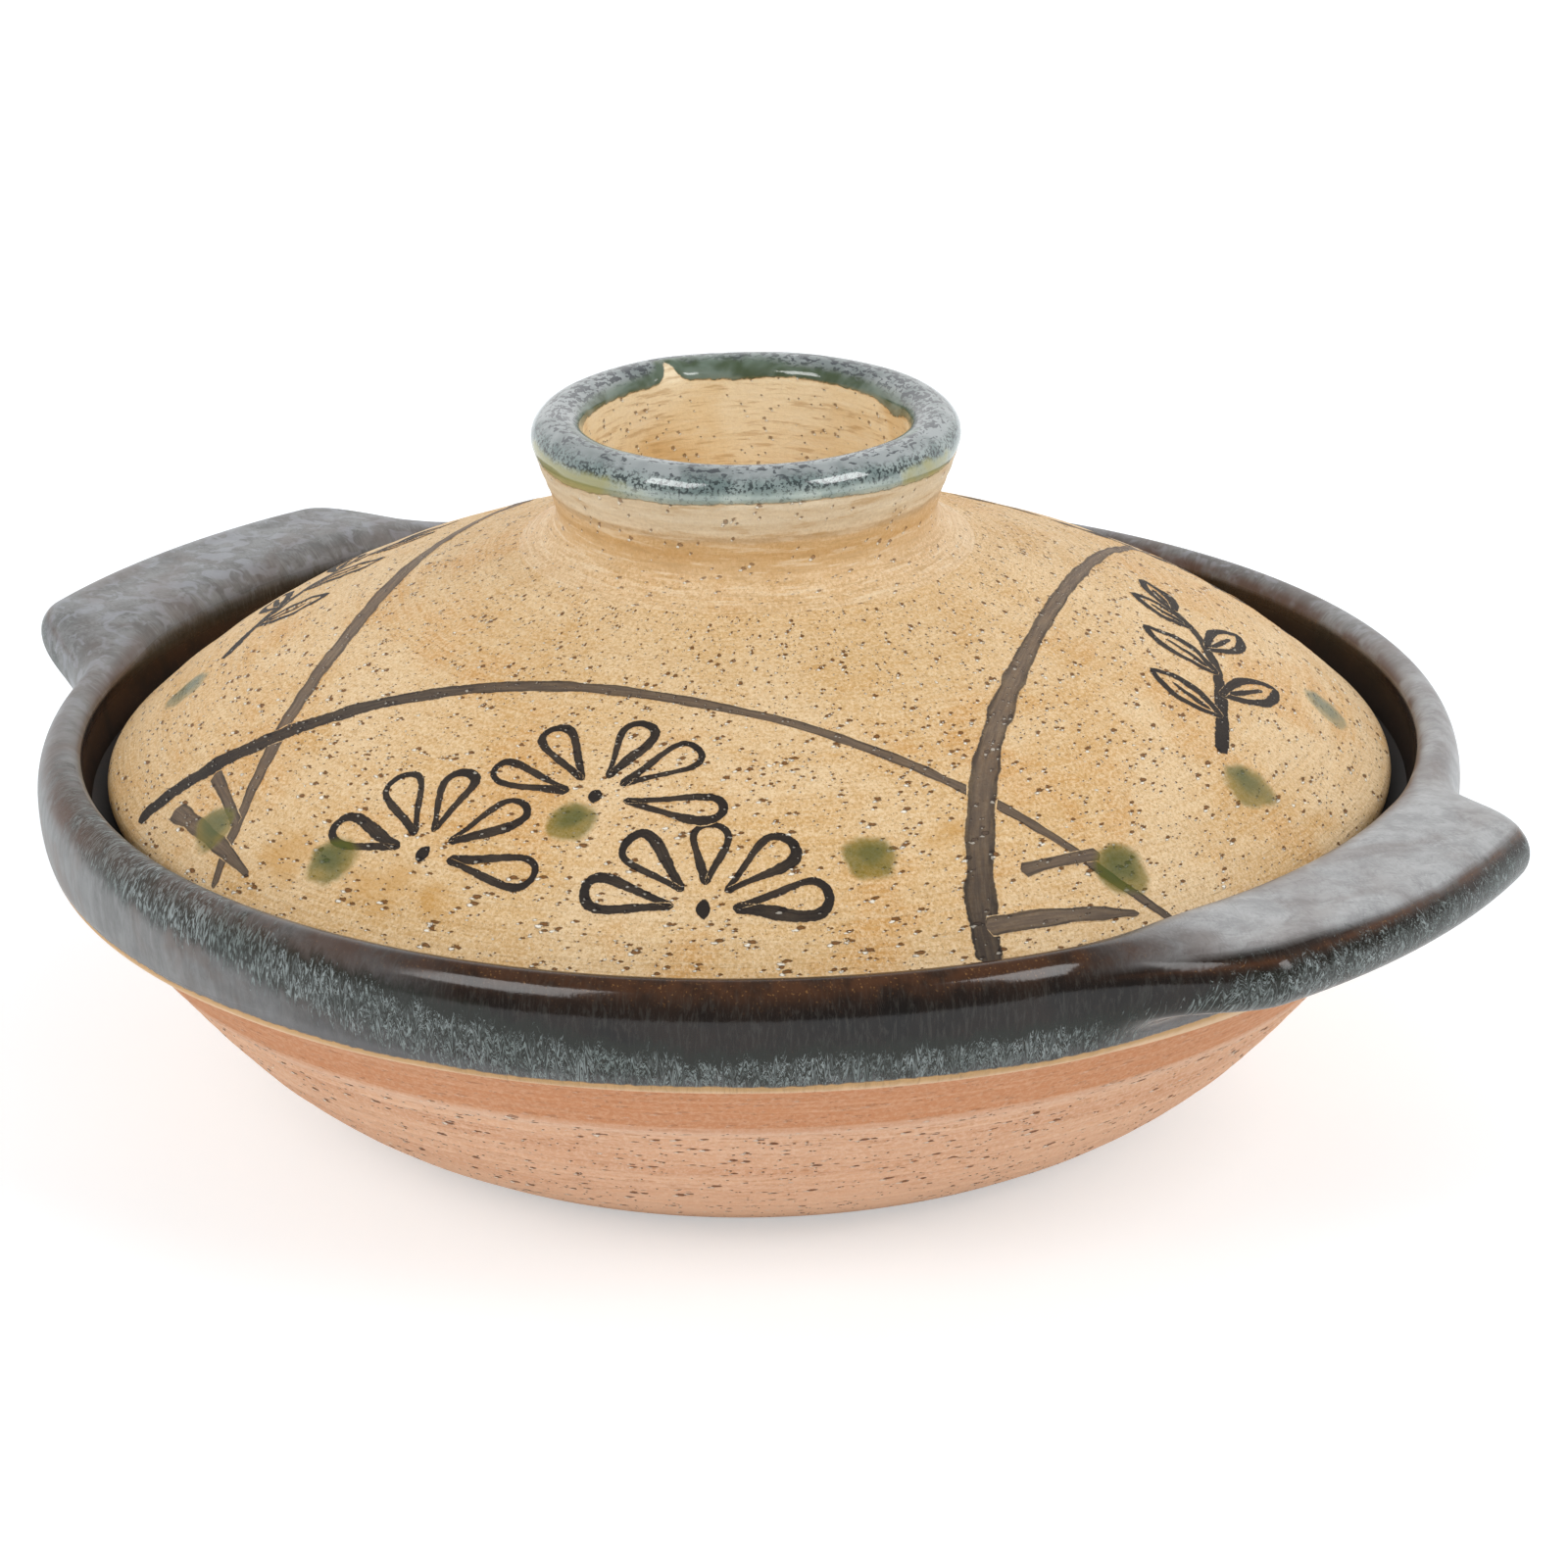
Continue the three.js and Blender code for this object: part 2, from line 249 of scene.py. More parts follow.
class Graph:
    """Short ways to add the nodes of one material."""

    def __init__(self, name):
        self.material = bpy.data.materials.new(name)
        self.material.use_nodes = True
        self.tree = self.material.node_tree
        self.tree.nodes.clear()
        self.shader = self.node("BsdfPrincipled")
        self.node("OutputMaterial", self.shader.outputs[0])

    def node(self, kind, *values, **settings):
        """A node with its settings made and its first inputs fed."""
        made = self.tree.nodes.new("ShaderNode" + kind)
        for key, value in settings.items():
            setattr(made, key, value)
        for socket, value in zip(made.inputs, values):
            self.feed(socket, value)
        return made

    def feed(self, socket, value):
        """Links an output to a socket, or sets its value. None leaves it as it is."""
        if isinstance(value, bpy.types.NodeSocket):
            self.tree.links.new(value, socket)
        elif value is not None:
            if isinstance(value, tuple) and len(value) == 3 and socket.type == "RGBA":
                value = (*value, 1.0)
            socket.default_value = value

    def feed_named(self, made, **values):
        for key, value in values.items():
            self.feed(made.inputs[key.replace("_", " ")], value)
        return made

    def set(self, **values):
        self.feed_named(self.shader, **values)

    def math(self, operation, *values, clamp=False):
        return self.node("Math", *values, operation=operation, use_clamp=clamp).outputs[0]

    def chain(self, operation, first, *others):
        for other in others:
            first = self.math(operation, first, other)
        return first

    def add(self, *values):
        return self.chain("ADD", *values)

    def minus(self, first, second):
        return self.math("SUBTRACT", first, second)

    def rest(self, share):
        """What a share leaves of the whole."""
        return self.minus(1.0, share)

    def times(self, *values):
        return self.chain("MULTIPLY", *values)

    def most(self, first, second):
        return self.math("MAXIMUM", first, second)

    def swing(self, value, size):
        """A noise value as a swing about zero."""
        return self.times(self.minus(value, 0.5), size)

    def vector(self, operation, *values, scale=None):
        made = self.node("VectorMath", *values, operation=operation)
        if scale is not None:
            self.feed_named(made, Scale=scale)
        return made.outputs["Value" if operation in ("LENGTH", "DISTANCE", "DOT_PRODUCT") else "Vector"]

    def combine(self, x, y, z):
        return self.node("CombineXYZ", x, y, z).outputs[0]

    def split(self, vector):
        return tuple(self.node("SeparateXYZ", vector).outputs)

    def mark(self, name):
        return self.node("Attribute", attribute_name=name).outputs["Fac"]

    def remap(self, value, low, high, to_low=0.0, to_high=1.0):
        limits = (low, high, to_low, to_high)
        return self.node("MapRange", value, *limits, interpolation_type="SMOOTHSTEP").outputs[0]

    def belt(self, z, base, rise, fall):
        """1 between two slopes, which are given in millimetres over a base height."""
        up, down = (self.remap(z, *((base + end) * MM for end in slope)) for slope in (rise, fall))
        return self.times(up, down)

    def noise_node(self, vector, scale, detail=2.0, roughness=0.5, distortion=0.0):
        made = self.node("TexNoise", vector)
        return self.feed_named(made, Scale=scale, Detail=detail, Roughness=roughness, Distortion=distortion)

    def noise(self, *settings):
        return self.noise_node(*settings).outputs["Fac"]

    def drawn(self, wheel, around, across, *settings):
        """Noise drawn out by the turning: cells round one radian, and over one metre up the slope."""
        return self.noise(self.vector("MULTIPLY", wheel, (around, around, across)), 1.0, *settings)

    def shaken(self, vector, scale, size):
        """The vector moved about by noise, so that what is drawn with it has ragged outlines."""
        moved = self.vector("SUBTRACT", self.noise_node(vector, scale).outputs["Color"], (0.5, 0.5, 0.5))
        return self.vector("ADD", vector, self.vector("SCALE", moved, scale=size))

    def mix(self, share, first, second):
        """Mixes two colours."""
        return self.node("Mix", share, *[None] * 5, first, second, data_type="RGBA").outputs[2]

    def blend(self, share, first, second):
        """Mixes two numbers."""
        return self.node("Mix", share, None, first, second, data_type="FLOAT").outputs[0]

    def fade(self, value, low, high, first, second):
        """One colour turning into another as the value goes from low to high."""
        return self.mix(self.remap(value, low, high), first, second)

    def over(self, tint, *shares):
        """Lays a share of a tint over the colour so far."""
        self.colour = self.mix(self.times(*shares), self.colour, tint)

    def lay(self, tint, value, low, high, share):
        """The same, with a share that grows as the value goes from low to high."""
        self.over(tint, self.remap(value, low, high, 0.0, share))

    def fired(self, relief):
        """The material, with its colour, roughness and relief given to the shader."""
        normal = self.feed_named(self.node("Bump"), Distance=relief, Height=self.height).outputs[0]
        self.set(Base_Color=self.colour, Roughness=self.roughness, Normal=normal)
        return self.material

    def place(self):
        return self.node("TexCoord").outputs["Object"]

    def rays(self):
        """1 for what the camera sees directly, and 1 for what it sees in a mirror or through glass."""
        path = self.node("LightPath")
        mirrored = self.most(path.outputs["Is Glossy Ray"], path.outputs["Is Transmission Ray"])
        return path.outputs["Is Camera Ray"], mirrored

    def wheel(self, place, lean):
        """What the turning wheel draws follows these: the direction round the axis with the way up the
        slope, and the same unrolled. lean is -1 on a dome and 1 on a bowl."""
        x, y, z = self.split(place)
        flat = self.combine(x, y, 0.0)
        side_x, side_y, _ = self.split(self.vector("NORMALIZE", flat))
        slope = self.add(z, self.times(self.vector("LENGTH", flat), lean))
        angle = self.math("ARCTAN2", x, self.times(y, -1.0))
        return self.combine(side_x, side_y, slope), self.combine(angle, slope, 0.0)

    def specks(self, vector, size, share):
        """Scattered spots: 1 inside a spot. size is in cells, share is how many cells hold one."""
        cells = self.feed_named(self.node("TexVoronoi", voronoi_dimensions="2D"), Vector=vector, Scale=1.0)
        pick = self.split(cells.outputs["Color"])[0]
        spot = self.remap(cells.outputs["Distance"], 0.6 * size, size, 1.0, 0.0)
        return self.times(spot, self.math("GREATER_THAN", pick, 1.0 - share))

    def grog(self, unrolled, kinds):
        """Coarse grains in turned clay: pits drawn out by the turning, and the pale grains beside them. The
        pits' dark is partly painted shade in them, and the grains' pale is partly painted glints on their
        lit edges.
        """
        pits_and_shade, grains_and_glints = 0.0, 0.0
        for around, across, size, share in kinds:
            cells = self.shaken(self.vector("MULTIPLY", unrolled, (around, across, 0.0)), 3.2, 0.52)
            beside = self.vector("ADD", cells, (0.95 * size, 1.15 * size, 0.0))
            pits_and_shade = self.most(pits_and_shade, self.specks(cells, size, share))
            grains_and_glints = self.most(grains_and_glints, self.specks(beside, 0.70 * size, 1.1 * share))
        return pits_and_shade, grains_and_glints


class Studio(Graph):
    """The same ways for the nodes of the world."""

    def __init__(self, world):
        world.use_nodes = True
        self.tree = world.node_tree


# The lid's outside, from its edge up to the crown: one curve shared by the clay and the brushwork

edge_centre = np.array([LID_R - LID_EDGE, LID_FOOT_Z + LID_EDGE])
dome_start = edge_centre + LID_EDGE * heading(DOME_LEAVES - 90)
shoulder = np.array([SHOULDER_R, CROWN_Z - SHOULDER_DROP])
collar = shoulder + 0.85 * (SHOULDER_R - CROWN_R) * heading(DOME_ARRIVES)
lid_outside = profile(
    136,
    arc(edge_centre, LID_EDGE, LID_EDGE, -90, DOME_LEAVES - 90, 24),
    sweep(dome_start, DOME_LEAVES, shoulder, DOME_ARRIVES, 120),
    bend(shoulder, collar, (CROWN_R, CROWN_Z), 40),
)
lid_far = lengths(lid_outside)
lid_away = normals(lid_outside)
lid_widest = int(np.argmax(lid_outside[:, 0]))


def thrown(far, turn):
    """The shallow waves that turning leaves on the lid, in millimetres."""
    slow = 0.07 * np.sin(0.62 * far + 0.5 * np.sin(turn) + 0.8)
    fast = 0.04 * np.sin(1.57 * far + 0.9 * np.sin(2 * turn + 1.0))
    return (slow + fast) * (ramp(far, 6, 6) * ramp(far, lid_far[-1], -4))


def on_lid(r, turn, lift):
    """Points on the lid's outside at a radius and a turn, lifted off it."""
    inward = slice(lid_widest, None)
    outward = slice(None, lid_widest - 1, -1)
    at = np.interp(r, lid_outside[outward, 0], lid_far[outward])
    radius, height = (np.interp(at, lid_far[inward], lid_outside[inward, i]) for i in (0, 1))
    out_r, out_z = (np.interp(at, lid_far[inward], lid_away[inward, i]) for i in (0, 1))
    up = thrown(at, turn) + lift
    radius = radius + up * out_r
    return np.stack([radius * np.cos(turn), radius * np.sin(turn), height + up * out_z], -1)


# Copper drops that run on the lid's clay: (radius, degrees, size)
DROPS = (
    (91.0, -109.0, 4.4), (88.7, -92.4, 4.8), (76.2, -69.1, 4.2), (81.2, -38.2, 4.4),
    (88.8, -13.8, 5.0), (85.7, 7.8, 4.9), (85.8, -140.1, 4.6), (88.0, 34.0, 4.7),
    (90.0, 70.0, 4.5), (87.0, 92.0, 4.8), (77.0, 113.0, 4.3), (82.0, 147.0, 4.6),
    (90.0, 168.0, 4.8), (86.0, -172.0, 4.6),
)
# Rusty stains in the clay near the drops, given in the same way
STAINS = (
    (90.0, -97.5, 7.0), (89.5, -86.0, 7.5), (90.0, -79.5, 5.0), (79.0, -30.0, 5.0),
    (80.0, 150.0, 7.0),
)


def nearest(g, place, spots):
    """1 in the middle of the nearest spot, 0 at its edge and beyond."""
    total = 0.0
    for r, angle, size in spots:
        centre = on_lid(np.array(r), np.array(math.radians(angle)), 0.0) * MM
        away = g.math("DIVIDE", g.vector("DISTANCE", place, tuple(centre.tolist())), size * MM)
        total = g.most(total, g.rest(away))
    return total


# Kinds of grains: cells round one radian and over one metre, size in cells, share of cells
LID_GROG = (
    (170.0, 2400.0, 0.40, 0.024), (95.0, 1500.0, 0.40, 0.026), (66.0, 1000.0, 0.38, 0.030),
    (40.0, 640.0, 0.34, 0.036),
)
KNOB_GROG = ((46.0, 2400.0, 0.38, 0.022), (25.0, 1200.0, 0.36, 0.024))
BOWL_GROG = (
    (150.0, 2000.0, 0.40, 0.030), (60.0, 1700.0, 0.40, 0.024), (48.0, 900.0, 0.34, 0.030),
    (30.0, 560.0, 0.30, 0.030),
)
# Painted shade: the lid's foot, down in the rim's gallery, is laid darker
EDGE_SHADE = ((LID_FOOT_Z + 5.7) * MM, (LID_FOOT_Z + 1.2) * MM)  # the lid darkens downwards here


def buff_clay(g, kinds=LID_GROG, lean=-1.0):
    """The lid's coarse clay, before its pits and grains are laid over it."""
    place = g.place()
    wheel, unrolled = g.wheel(place, lean)
    lines = g.drawn(wheel, 2.0, 900.0, 4.0, 0.65)
    drags = g.drawn(wheel, 16.0, 1500.0, 3.0, 0.6)
    stains = g.drawn(wheel, 3.2, 46.0, 3.0, 0.6, 0.5)
    patches = g.noise(place, 26.0, 3.0, 0.55, 0.6)
    blotches = g.noise(place, 48.0, 3.0, 0.6, 0.4)
    grain = g.noise(place, 1900.0, 3.0, 0.75)
    pepper = g.noise(place, 3300.0, 1.0, 0.5)
    g.colour = g.fade(patches, 0.36, 0.64, (0.73, 0.515, 0.285), (0.655, 0.415, 0.180))
    g.lay((0.585, 0.315, 0.085), stains, 0.46, 0.70, 0.75)
    g.lay((0.60, 0.300, 0.075), blotches, 0.53, 0.68, 0.7)
    g.lay((0.78, 0.59, 0.36), lines, 0.40, 0.66, 0.40)
    g.lay((0.50, 0.290, 0.100), drags, 0.55, 0.70, 0.50)
    g.lay((0.92, 0.745, 0.500), grain, 0.42, 0.68, 0.55)
    g.lay((0.46, 0.255, 0.080), grain, 0.48, 0.32, 0.42)
    g.lay((0.27, 0.140, 0.045), pepper, 0.62, 0.74, 0.65)
    # painted shade towards the lid's foot
    g.lay((0.45, 0.270, 0.095), g.split(place)[2], *EDGE_SHADE, 0.6)
    pits_and_shade, grains_and_glints = g.grog(unrolled, kinds)
    stand = g.minus(g.times(grains_and_glints, 0.6), g.times(pits_and_shade, 0.7))
    g.height = g.add(stand, g.times(lines, 0.30), g.times(drags, -0.25), g.times(grain, 0.14))
    g.roughness = g.remap(patches, 0.3, 0.7, 0.62, 0.50)
    g.set(Specular_IOR_Level=0.20)
    return place, wheel, pits_and_shade, grains_and_glints


def with_grog(g, pits_and_shade, grains_and_glints, depth=0.90):
    """Lays the pits and the pale grains over the clay's colour: the pits' dark is partly painted shade, and
    the grains' pale partly painted glints on the pits' lit edges.
    """
    g.over((0.165, 0.056, 0.006), pits_and_shade, depth)
    g.over((0.97, 0.91, 0.79), grains_and_glints, 0.92)


def with_drops(g, place):
    """Lays the copper drops over what is there."""
    ragged = g.shaken(place, 240.0, 0.0028)
    halo = g.remap(nearest(g, ragged, DROPS), 0.0, 0.32)
    under = g.vector("ADD", ragged, (0.0004, -0.0004, -0.0005))
    core = g.remap(nearest(g, under, DROPS), 0.24, 0.78)
    tint = g.fade(g.noise(place, 190.0), 0.35, 0.65, (0.092, 0.104, 0.012), (0.195, 0.152, 0.016))
    g.over(tint, halo, 0.76)
    g.over((0.042, 0.080, 0.030), core, 0.56)
    g.roughness = g.blend(halo, g.roughness, 0.20)
    g.height = g.times(g.height, g.remap(halo, 0.0, 1.0, 1.0, 0.45))


def lid_material():
    g = Graph("buff_clay")
    place, _, pits_and_shade, grains_and_glints = buff_clay(g)
    stained = nearest(g, g.shaken(place, 130.0, 0.011), STAINS)
    g.lay((0.56, 0.285, 0.058), stained, 0.0, 0.8, 0.55)
    with_grog(g, pits_and_shade, grains_and_glints)
    with_drops(g, place)
    return g.fired(0.0007)


def brush_material():
    """Iron pigment: a thin wash that gathers at the stroke's sides, or near black where it is wet."""
    g = Graph("iron_brush")
    place, _, pits_and_shade, grains_and_glints = buff_clay(g)
    with_grog(g, pits_and_shade, grains_and_glints)
    along, across, _ = g.split(g.node("UVMap", uv_map="Stroke").outputs[0])
    side = g.math("ABSOLUTE", g.minus(g.times(across, 2.0), 1.0))
    hair = g.noise(g.combine(g.times(along, 9.0), g.times(across, 7.0), 0.0), 1.0, 3.0, 0.6)
    tear = g.noise(place, 1000.0, 3.0, 0.7)
    nibble = g.noise(place, 420.0, 2.0, 0.6)
    wet = g.mark("wet")
    torn = g.times(g.add(g.swing(tear, 0.55), g.swing(nibble, 0.50)), g.remap(wet, 0.65, 0.90, 0.40, 1.0))
    inside = g.remap(g.add(side, torn), 0.86, 0.98, 1.0, 0.0)
    dry = g.times(g.remap(hair, 0.35, 0.65, 0.28, 0.0), g.rest(wet))
    cover = g.times(inside, g.minus(0.98, dry), g.rest(g.times(grains_and_glints, 0.35)))
    wash = g.fade(side, 0.40, 0.85, (0.135, 0.098, 0.074), (0.056, 0.042, 0.034))
    g.over(g.fade(wet, 0.45, 0.95, wash, (0.012, 0.0105, 0.012)), cover)
    g.roughness = g.blend(cover, g.roughness, 0.6)
    with_drops(g, place)
    return g.fired(0.0004)


# Lid

turns = np.radians(np.arange(0, 360, 0.9))
inner_foot = np.array([(dome_start + LID_WALL * heading(DOME_LEAVES + 90))[0], LID_FOOT_Z])
inner_shoulder = shoulder + LID_WALL * heading(DOME_ARRIVES + 90)
hollow_top = CROWN_Z - LID_WALL
hollow_run = (hollow_top - inner_shoulder[1]) / math.tan(math.radians(180 - DOME_ARRIVES))
underside = profile(
    48,
    bend((POLE_R, hollow_top), (inner_shoulder[0] - hollow_run, hollow_top), inner_shoulder, 20),
    sweep(inner_shoulder, DOME_ARRIVES - 180, inner_foot, DOME_LEAVES - 180, 40),
    line(inner_foot, lid_outside[0], 4),
)
crown = even(line((CROWN_R, CROWN_Z), (POLE_R, CROWN_Z), 12), 14)
outside_rows = spun(lid_outside, turns, thrown(lid_far[:, None], turns))
lid_rows = np.concatenate([spun(underside, turns)[:-1], outside_rows, spun(crown, turns)[1:]])
vent_x = VENT_AT_R * math.cos(VENT_TURN)
vent_y = VENT_AT_R * math.sin(VENT_TURN)
from_vent = np.hypot(lid_rows[:, :, 0] - vent_x, lid_rows[:, :, 1] - vent_y)
dip = VENT_DIP * np.clip(1 - (from_vent - VENT_R) / VENT_DIP_WIDTH, 0, 1) ** 2
upper = (np.arange(len(lid_rows)) >= len(underside) - 1)[:, None]
lid_rows[:, :, 2] += np.where(upper, -dip, dip)
lid = skin("lid_clay", lid_rows, (0, 0, hollow_top), (0, 0, CROWN_Z))

drill_profile = np.array([[VENT_R, LID_FOOT_Z], [VENT_R, CROWN_Z]])
drill_rows = spun(drill_profile, np.radians(np.arange(0, 360, 7.5))) + (vent_x, vent_y, 0)
drill = skin("vent_drill", drill_rows, (vent_x, vent_y, LID_FOOT_Z), (vent_x, vent_y, CROWN_Z))
cut = lid.modifiers.new("vent", "BOOLEAN")
cut.object = drill
cut.operation = "DIFFERENCE"
cut.solver = "EXACT"
bpy.context.view_layer.update()
lid.data = bpy.data.meshes.new_from_object(lid.evaluated_get(bpy.context.evaluated_depsgraph_get()))
lid.modifiers.clear()
bpy.data.objects.remove(drill)
lid.data.set_sharp_from_angle(angle=SHARP_ANGLE)
lid.data.materials.clear()
lid.data.materials.append(lid_material())
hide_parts("lid_dome")
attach(lid, "lid")

# Knob: a ring with a flared neck of bare clay under a glazed lip. It is let into the crown a little.

KNOB_SINK = 0.3
NECK_LINE_Z = CROWN_Z + 9.8
GLAZE_LINE_Z = KNOB_TOP - 4.7  # the glaze ends here outside
BORE_LINE_Z = KNOB_TOP - 3.0  # and here in the cup
GLAZE_COAT = 0.22
lip_centre = (LIP_R - LIP_WIDTH / 2, LIP_Z)
knob_foot = (CROWN_R, CROWN_Z)
knob_waist = (NECK_R, CROWN_Z + NECK_RISE)
knob_bore = (KNOB_BORE_R, CROWN_Z - KNOB_SINK)
knob_base = (CROWN_R - 1.0, CROWN_Z - KNOB_SINK)
knob_profile = join(
    line(knob_base, knob_foot, 2),
    even(bend(knob_foot, (NECK_R, CROWN_Z + 0.6 * NECK_RISE), knob_waist, 40), 18),
    even(sweep(knob_waist, 90, (LIP_R, LIP_Z), 90, 60, 0.25), 34),
    even(arc(lip_centre, LIP_WIDTH / 2, LIP_RISE, 0, 180, 80), 46),
    even(line((LIP_R - LIP_WIDTH, LIP_Z), knob_bore, 20), 26),
)
knob_turns = np.radians(np.arange(0, 360, 1.0))
knob_r, knob_height = knob_profile[:, 0, None], knob_profile[:, 1, None]
glaze_line = GLAZE_LINE_Z + wander(knob_turns, 5, (2, 3, 5, 8, 13), 0.9)
glaze_line = glaze_line - 1.5 * near(knob_turns, -108, 26) - 1.0 * near(knob_turns, 8, 22)
olive = near(knob_turns, -108, 28) + 0.7 * near(knob_turns, 8, 20) + 0.7 * near(knob_turns, 140, 40)
bore_line = BORE_LINE_Z + wander(knob_turns, 9, (2, 3, 4, 7, 11), 0.8)
bore_line = bore_line + 2.6 * near(knob_turns, 157, 3.2) - 1.4 * near(knob_turns, 62, 9)
outer_side = knob_r > lip_centre[0]
above = knob_height - np.where(outer_side, glaze_line, bore_line)
on_lip = knob_height > CROWN_Z + 1.0
coat = GLAZE_COAT * (np.clip(above / 0.9 + 0.2, 0, 1) ** 0.6 - 1)
sag = wander(knob_turns, 12, (3, 4, 6, 9), 0.18) * ramp(above, 0, 4)
neck_lines = 0.05 * np.sin(2.6 * knob_height) - 0.16 * hump(knob_height, NECK_LINE_Z, 0.3)
knob_out = np.where(on_lip, coat + sag + neck_lines * outer_side * (above < 0), 0.0)
knob_out = knob_out * ramp(knob_height, CROWN_Z, 4)
knob_rows = spun(knob_profile, knob_turns, knob_out)
knob_rows[:, :, 2] = np.minimum(knob_rows[:, :, 2], KNOB_TOP)
lip_turn = np.arctan2((knob_height - LIP_Z) / LIP_RISE, (knob_r - lip_centre[0]) / (LIP_WIDTH / 2))
over_lip = np.where(knob_height >= LIP_Z, lip_turn / math.pi, np.where(outer_side, 0.0, 1.0))
over_lip = np.broadcast_to(over_lip, above.shape)
olive = np.broadcast_to(olive, above.shape)

# Belts round the neck, pale, warm and the crease, whose dark is painted shade in the neck's groove: the
# slopes in and out over the crown, share, colour
NECK_BELTS = (
    ((7.4, 12.0), (19.2, 16.7), 0.66, (0.70, 0.63, 0.48)),
    ((2.2, 5.2), (11.0, 8.0), 0.62, (0.575, 0.335, 0.110)),
    # the crease: painted shade in the neck's groove
    ((9.0, 9.7), (10.5, 9.8), 0.35, (0.33, 0.185, 0.065)),
)


def knob_material():
    """Bare clay, pale under the lip and warm at the neck with painted shade in its crease, the cup laid
    pale as a painted sheen, and a speckled blue-green glaze above.
    """
    g = Graph("lip_glaze")
    lip = g.mark("lip")
    neck = g.math("LESS_THAN", lip, 0.5)
    bore = g.rest(neck)
    place, wheel, pits_and_shade, grains_and_glints = buff_clay(g, KNOB_GROG, g.blend(neck, 0.3, -1.0))
    side_x, side_y, _ = g.split(wheel)
    level = g.add(g.split(place)[2], g.swing(g.drawn(wheel, 3.0, 60.0), 0.0016))
    for rise, fall, share, tint in NECK_BELTS:
        g.over(tint, g.belt(level, CROWN_Z, rise, fall), neck, share)
    # Painted sheen: the clay in the cup is laid paler, standing in for the light on it
    painted_sheen = g.fade(g.noise(place, 42.0), 0.42, 0.58, (0.86, 0.690, 0.410), (0.93, 0.810, 0.560))
    g.over(painted_sheen, bore, 0.75)
    ochre = g.remap(g.noise(place, 75.0, 3.0, 0.6, 0.4), 0.46, 0.64, 0.0, 0.55)
    g.over((0.66, 0.410, 0.140), bore, ochre)
    scratches = g.drawn(wheel, 4.5, 1500.0, 3.0, 0.6)
    g.lay((0.50, 0.300, 0.110), scratches, 0.53, 0.68, 0.55)
    g.lay((0.88, 0.760, 0.560), scratches, 0.46, 0.34, 0.35)
    with_grog(g, pits_and_shade, grains_and_glints, 0.65)
    # the glaze: worm marks on the lip's top, dots on its flank, green in the cup, a fringe at its edge
    ragged = g.add(g.mark("above"), g.swing(g.noise(place, 700.0), 0.9))
    glazed = g.remap(ragged, -0.12, 0.22)
    over_lip = g.combine(side_x, side_y, g.times(lip, LIP_GIRTH * MM))
    worms = g.drawn(over_lip, 19.0, 1150.0, 2.0, 0.6, 0.4)
    dots = g.noise(place, 1900.0, 2.0, 0.6)
    clouds = g.noise(place, 130.0, 3.0, 0.6, 0.5)
    cloudy = g.remap(clouds, 0.38, 0.62)
    across = g.add(lip, g.swing(clouds, 0.25))
    off_crest = g.math("ABSOLUTE", g.minus(lip, 0.62))
    sparse = g.remap(g.add(off_crest, g.swing(clouds, 0.5)), 0.10, 0.40, 0.0, 0.11)
    marked = g.remap(g.minus(worms, sparse), 0.47, 0.54, 0.0, 0.85)
    top = g.mix(cloudy, (0.215, 0.248, 0.246), (0.345, 0.376, 0.380))
    top = g.mix(marked, top, (0.050, 0.056, 0.066))
    flank = g.mix(cloudy, (0.150, 0.205, 0.200), (0.300, 0.362, 0.350))
    flank = g.mix(g.remap(dots, 0.48, 0.57, 0.0, 0.88), flank, (0.022, 0.032, 0.034))
    well = g.mix(cloudy, (0.060, 0.090, 0.045), (0.165, 0.220, 0.180))
    body = g.fade(across, 0.70, 0.90, g.fade(across, 0.16, 0.34, flank, top), well)
    greenish = g.remap(g.add(g.mark("olive"), g.swing(clouds, 0.9)), 0.35, 0.75)
    turquoise = g.mix(cloudy, (0.270, 0.345, 0.320), (0.420, 0.495, 0.455))
    turquoise = g.mix(g.remap(dots, 0.56, 0.64, 0.0, 0.6), turquoise, (0.100, 0.130, 0.125))
    fringe = g.mix(neck, well, g.mix(greenish, turquoise, (0.315, 0.310, 0.125)))
    risen = g.minus(g.add(ragged, g.swing(clouds, 1.2)), g.times(greenish, 1.35))
    g.over(g.fade(risen, 1.0, 2.3, fringe, body), glazed)
    g.roughness = g.blend(glazed, g.roughness, g.remap(worms, 0.4, 0.6, 0.13, 0.08))
    g.height = g.blend(glazed, g.height, g.add(g.times(worms, 0.06), 0.5))
    g.set(Specular_IOR_Level=1.0)
    return g.fired(0.0004)


knob = skin("lid_knob_ring", knob_rows, loop=True, above=above, lip=over_lip, olive=olive)
knob.data.materials.append(knob_material())
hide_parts("lid_knob")
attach(knob, "lid")

# Bowl: bare red clay with trimming lines. The clay of the wall is shared between this piece and the
# glazed one above it, which meet in the middle of the wall.

MIDDLE_Z = FLOOR_Z / 2
MIDDLE_TOP = (BOWL_TOP_R - 3.5, RIM_LOW)
BAND_Z = RIM_LOW - 11.0  # the smooth band under the rim starts here
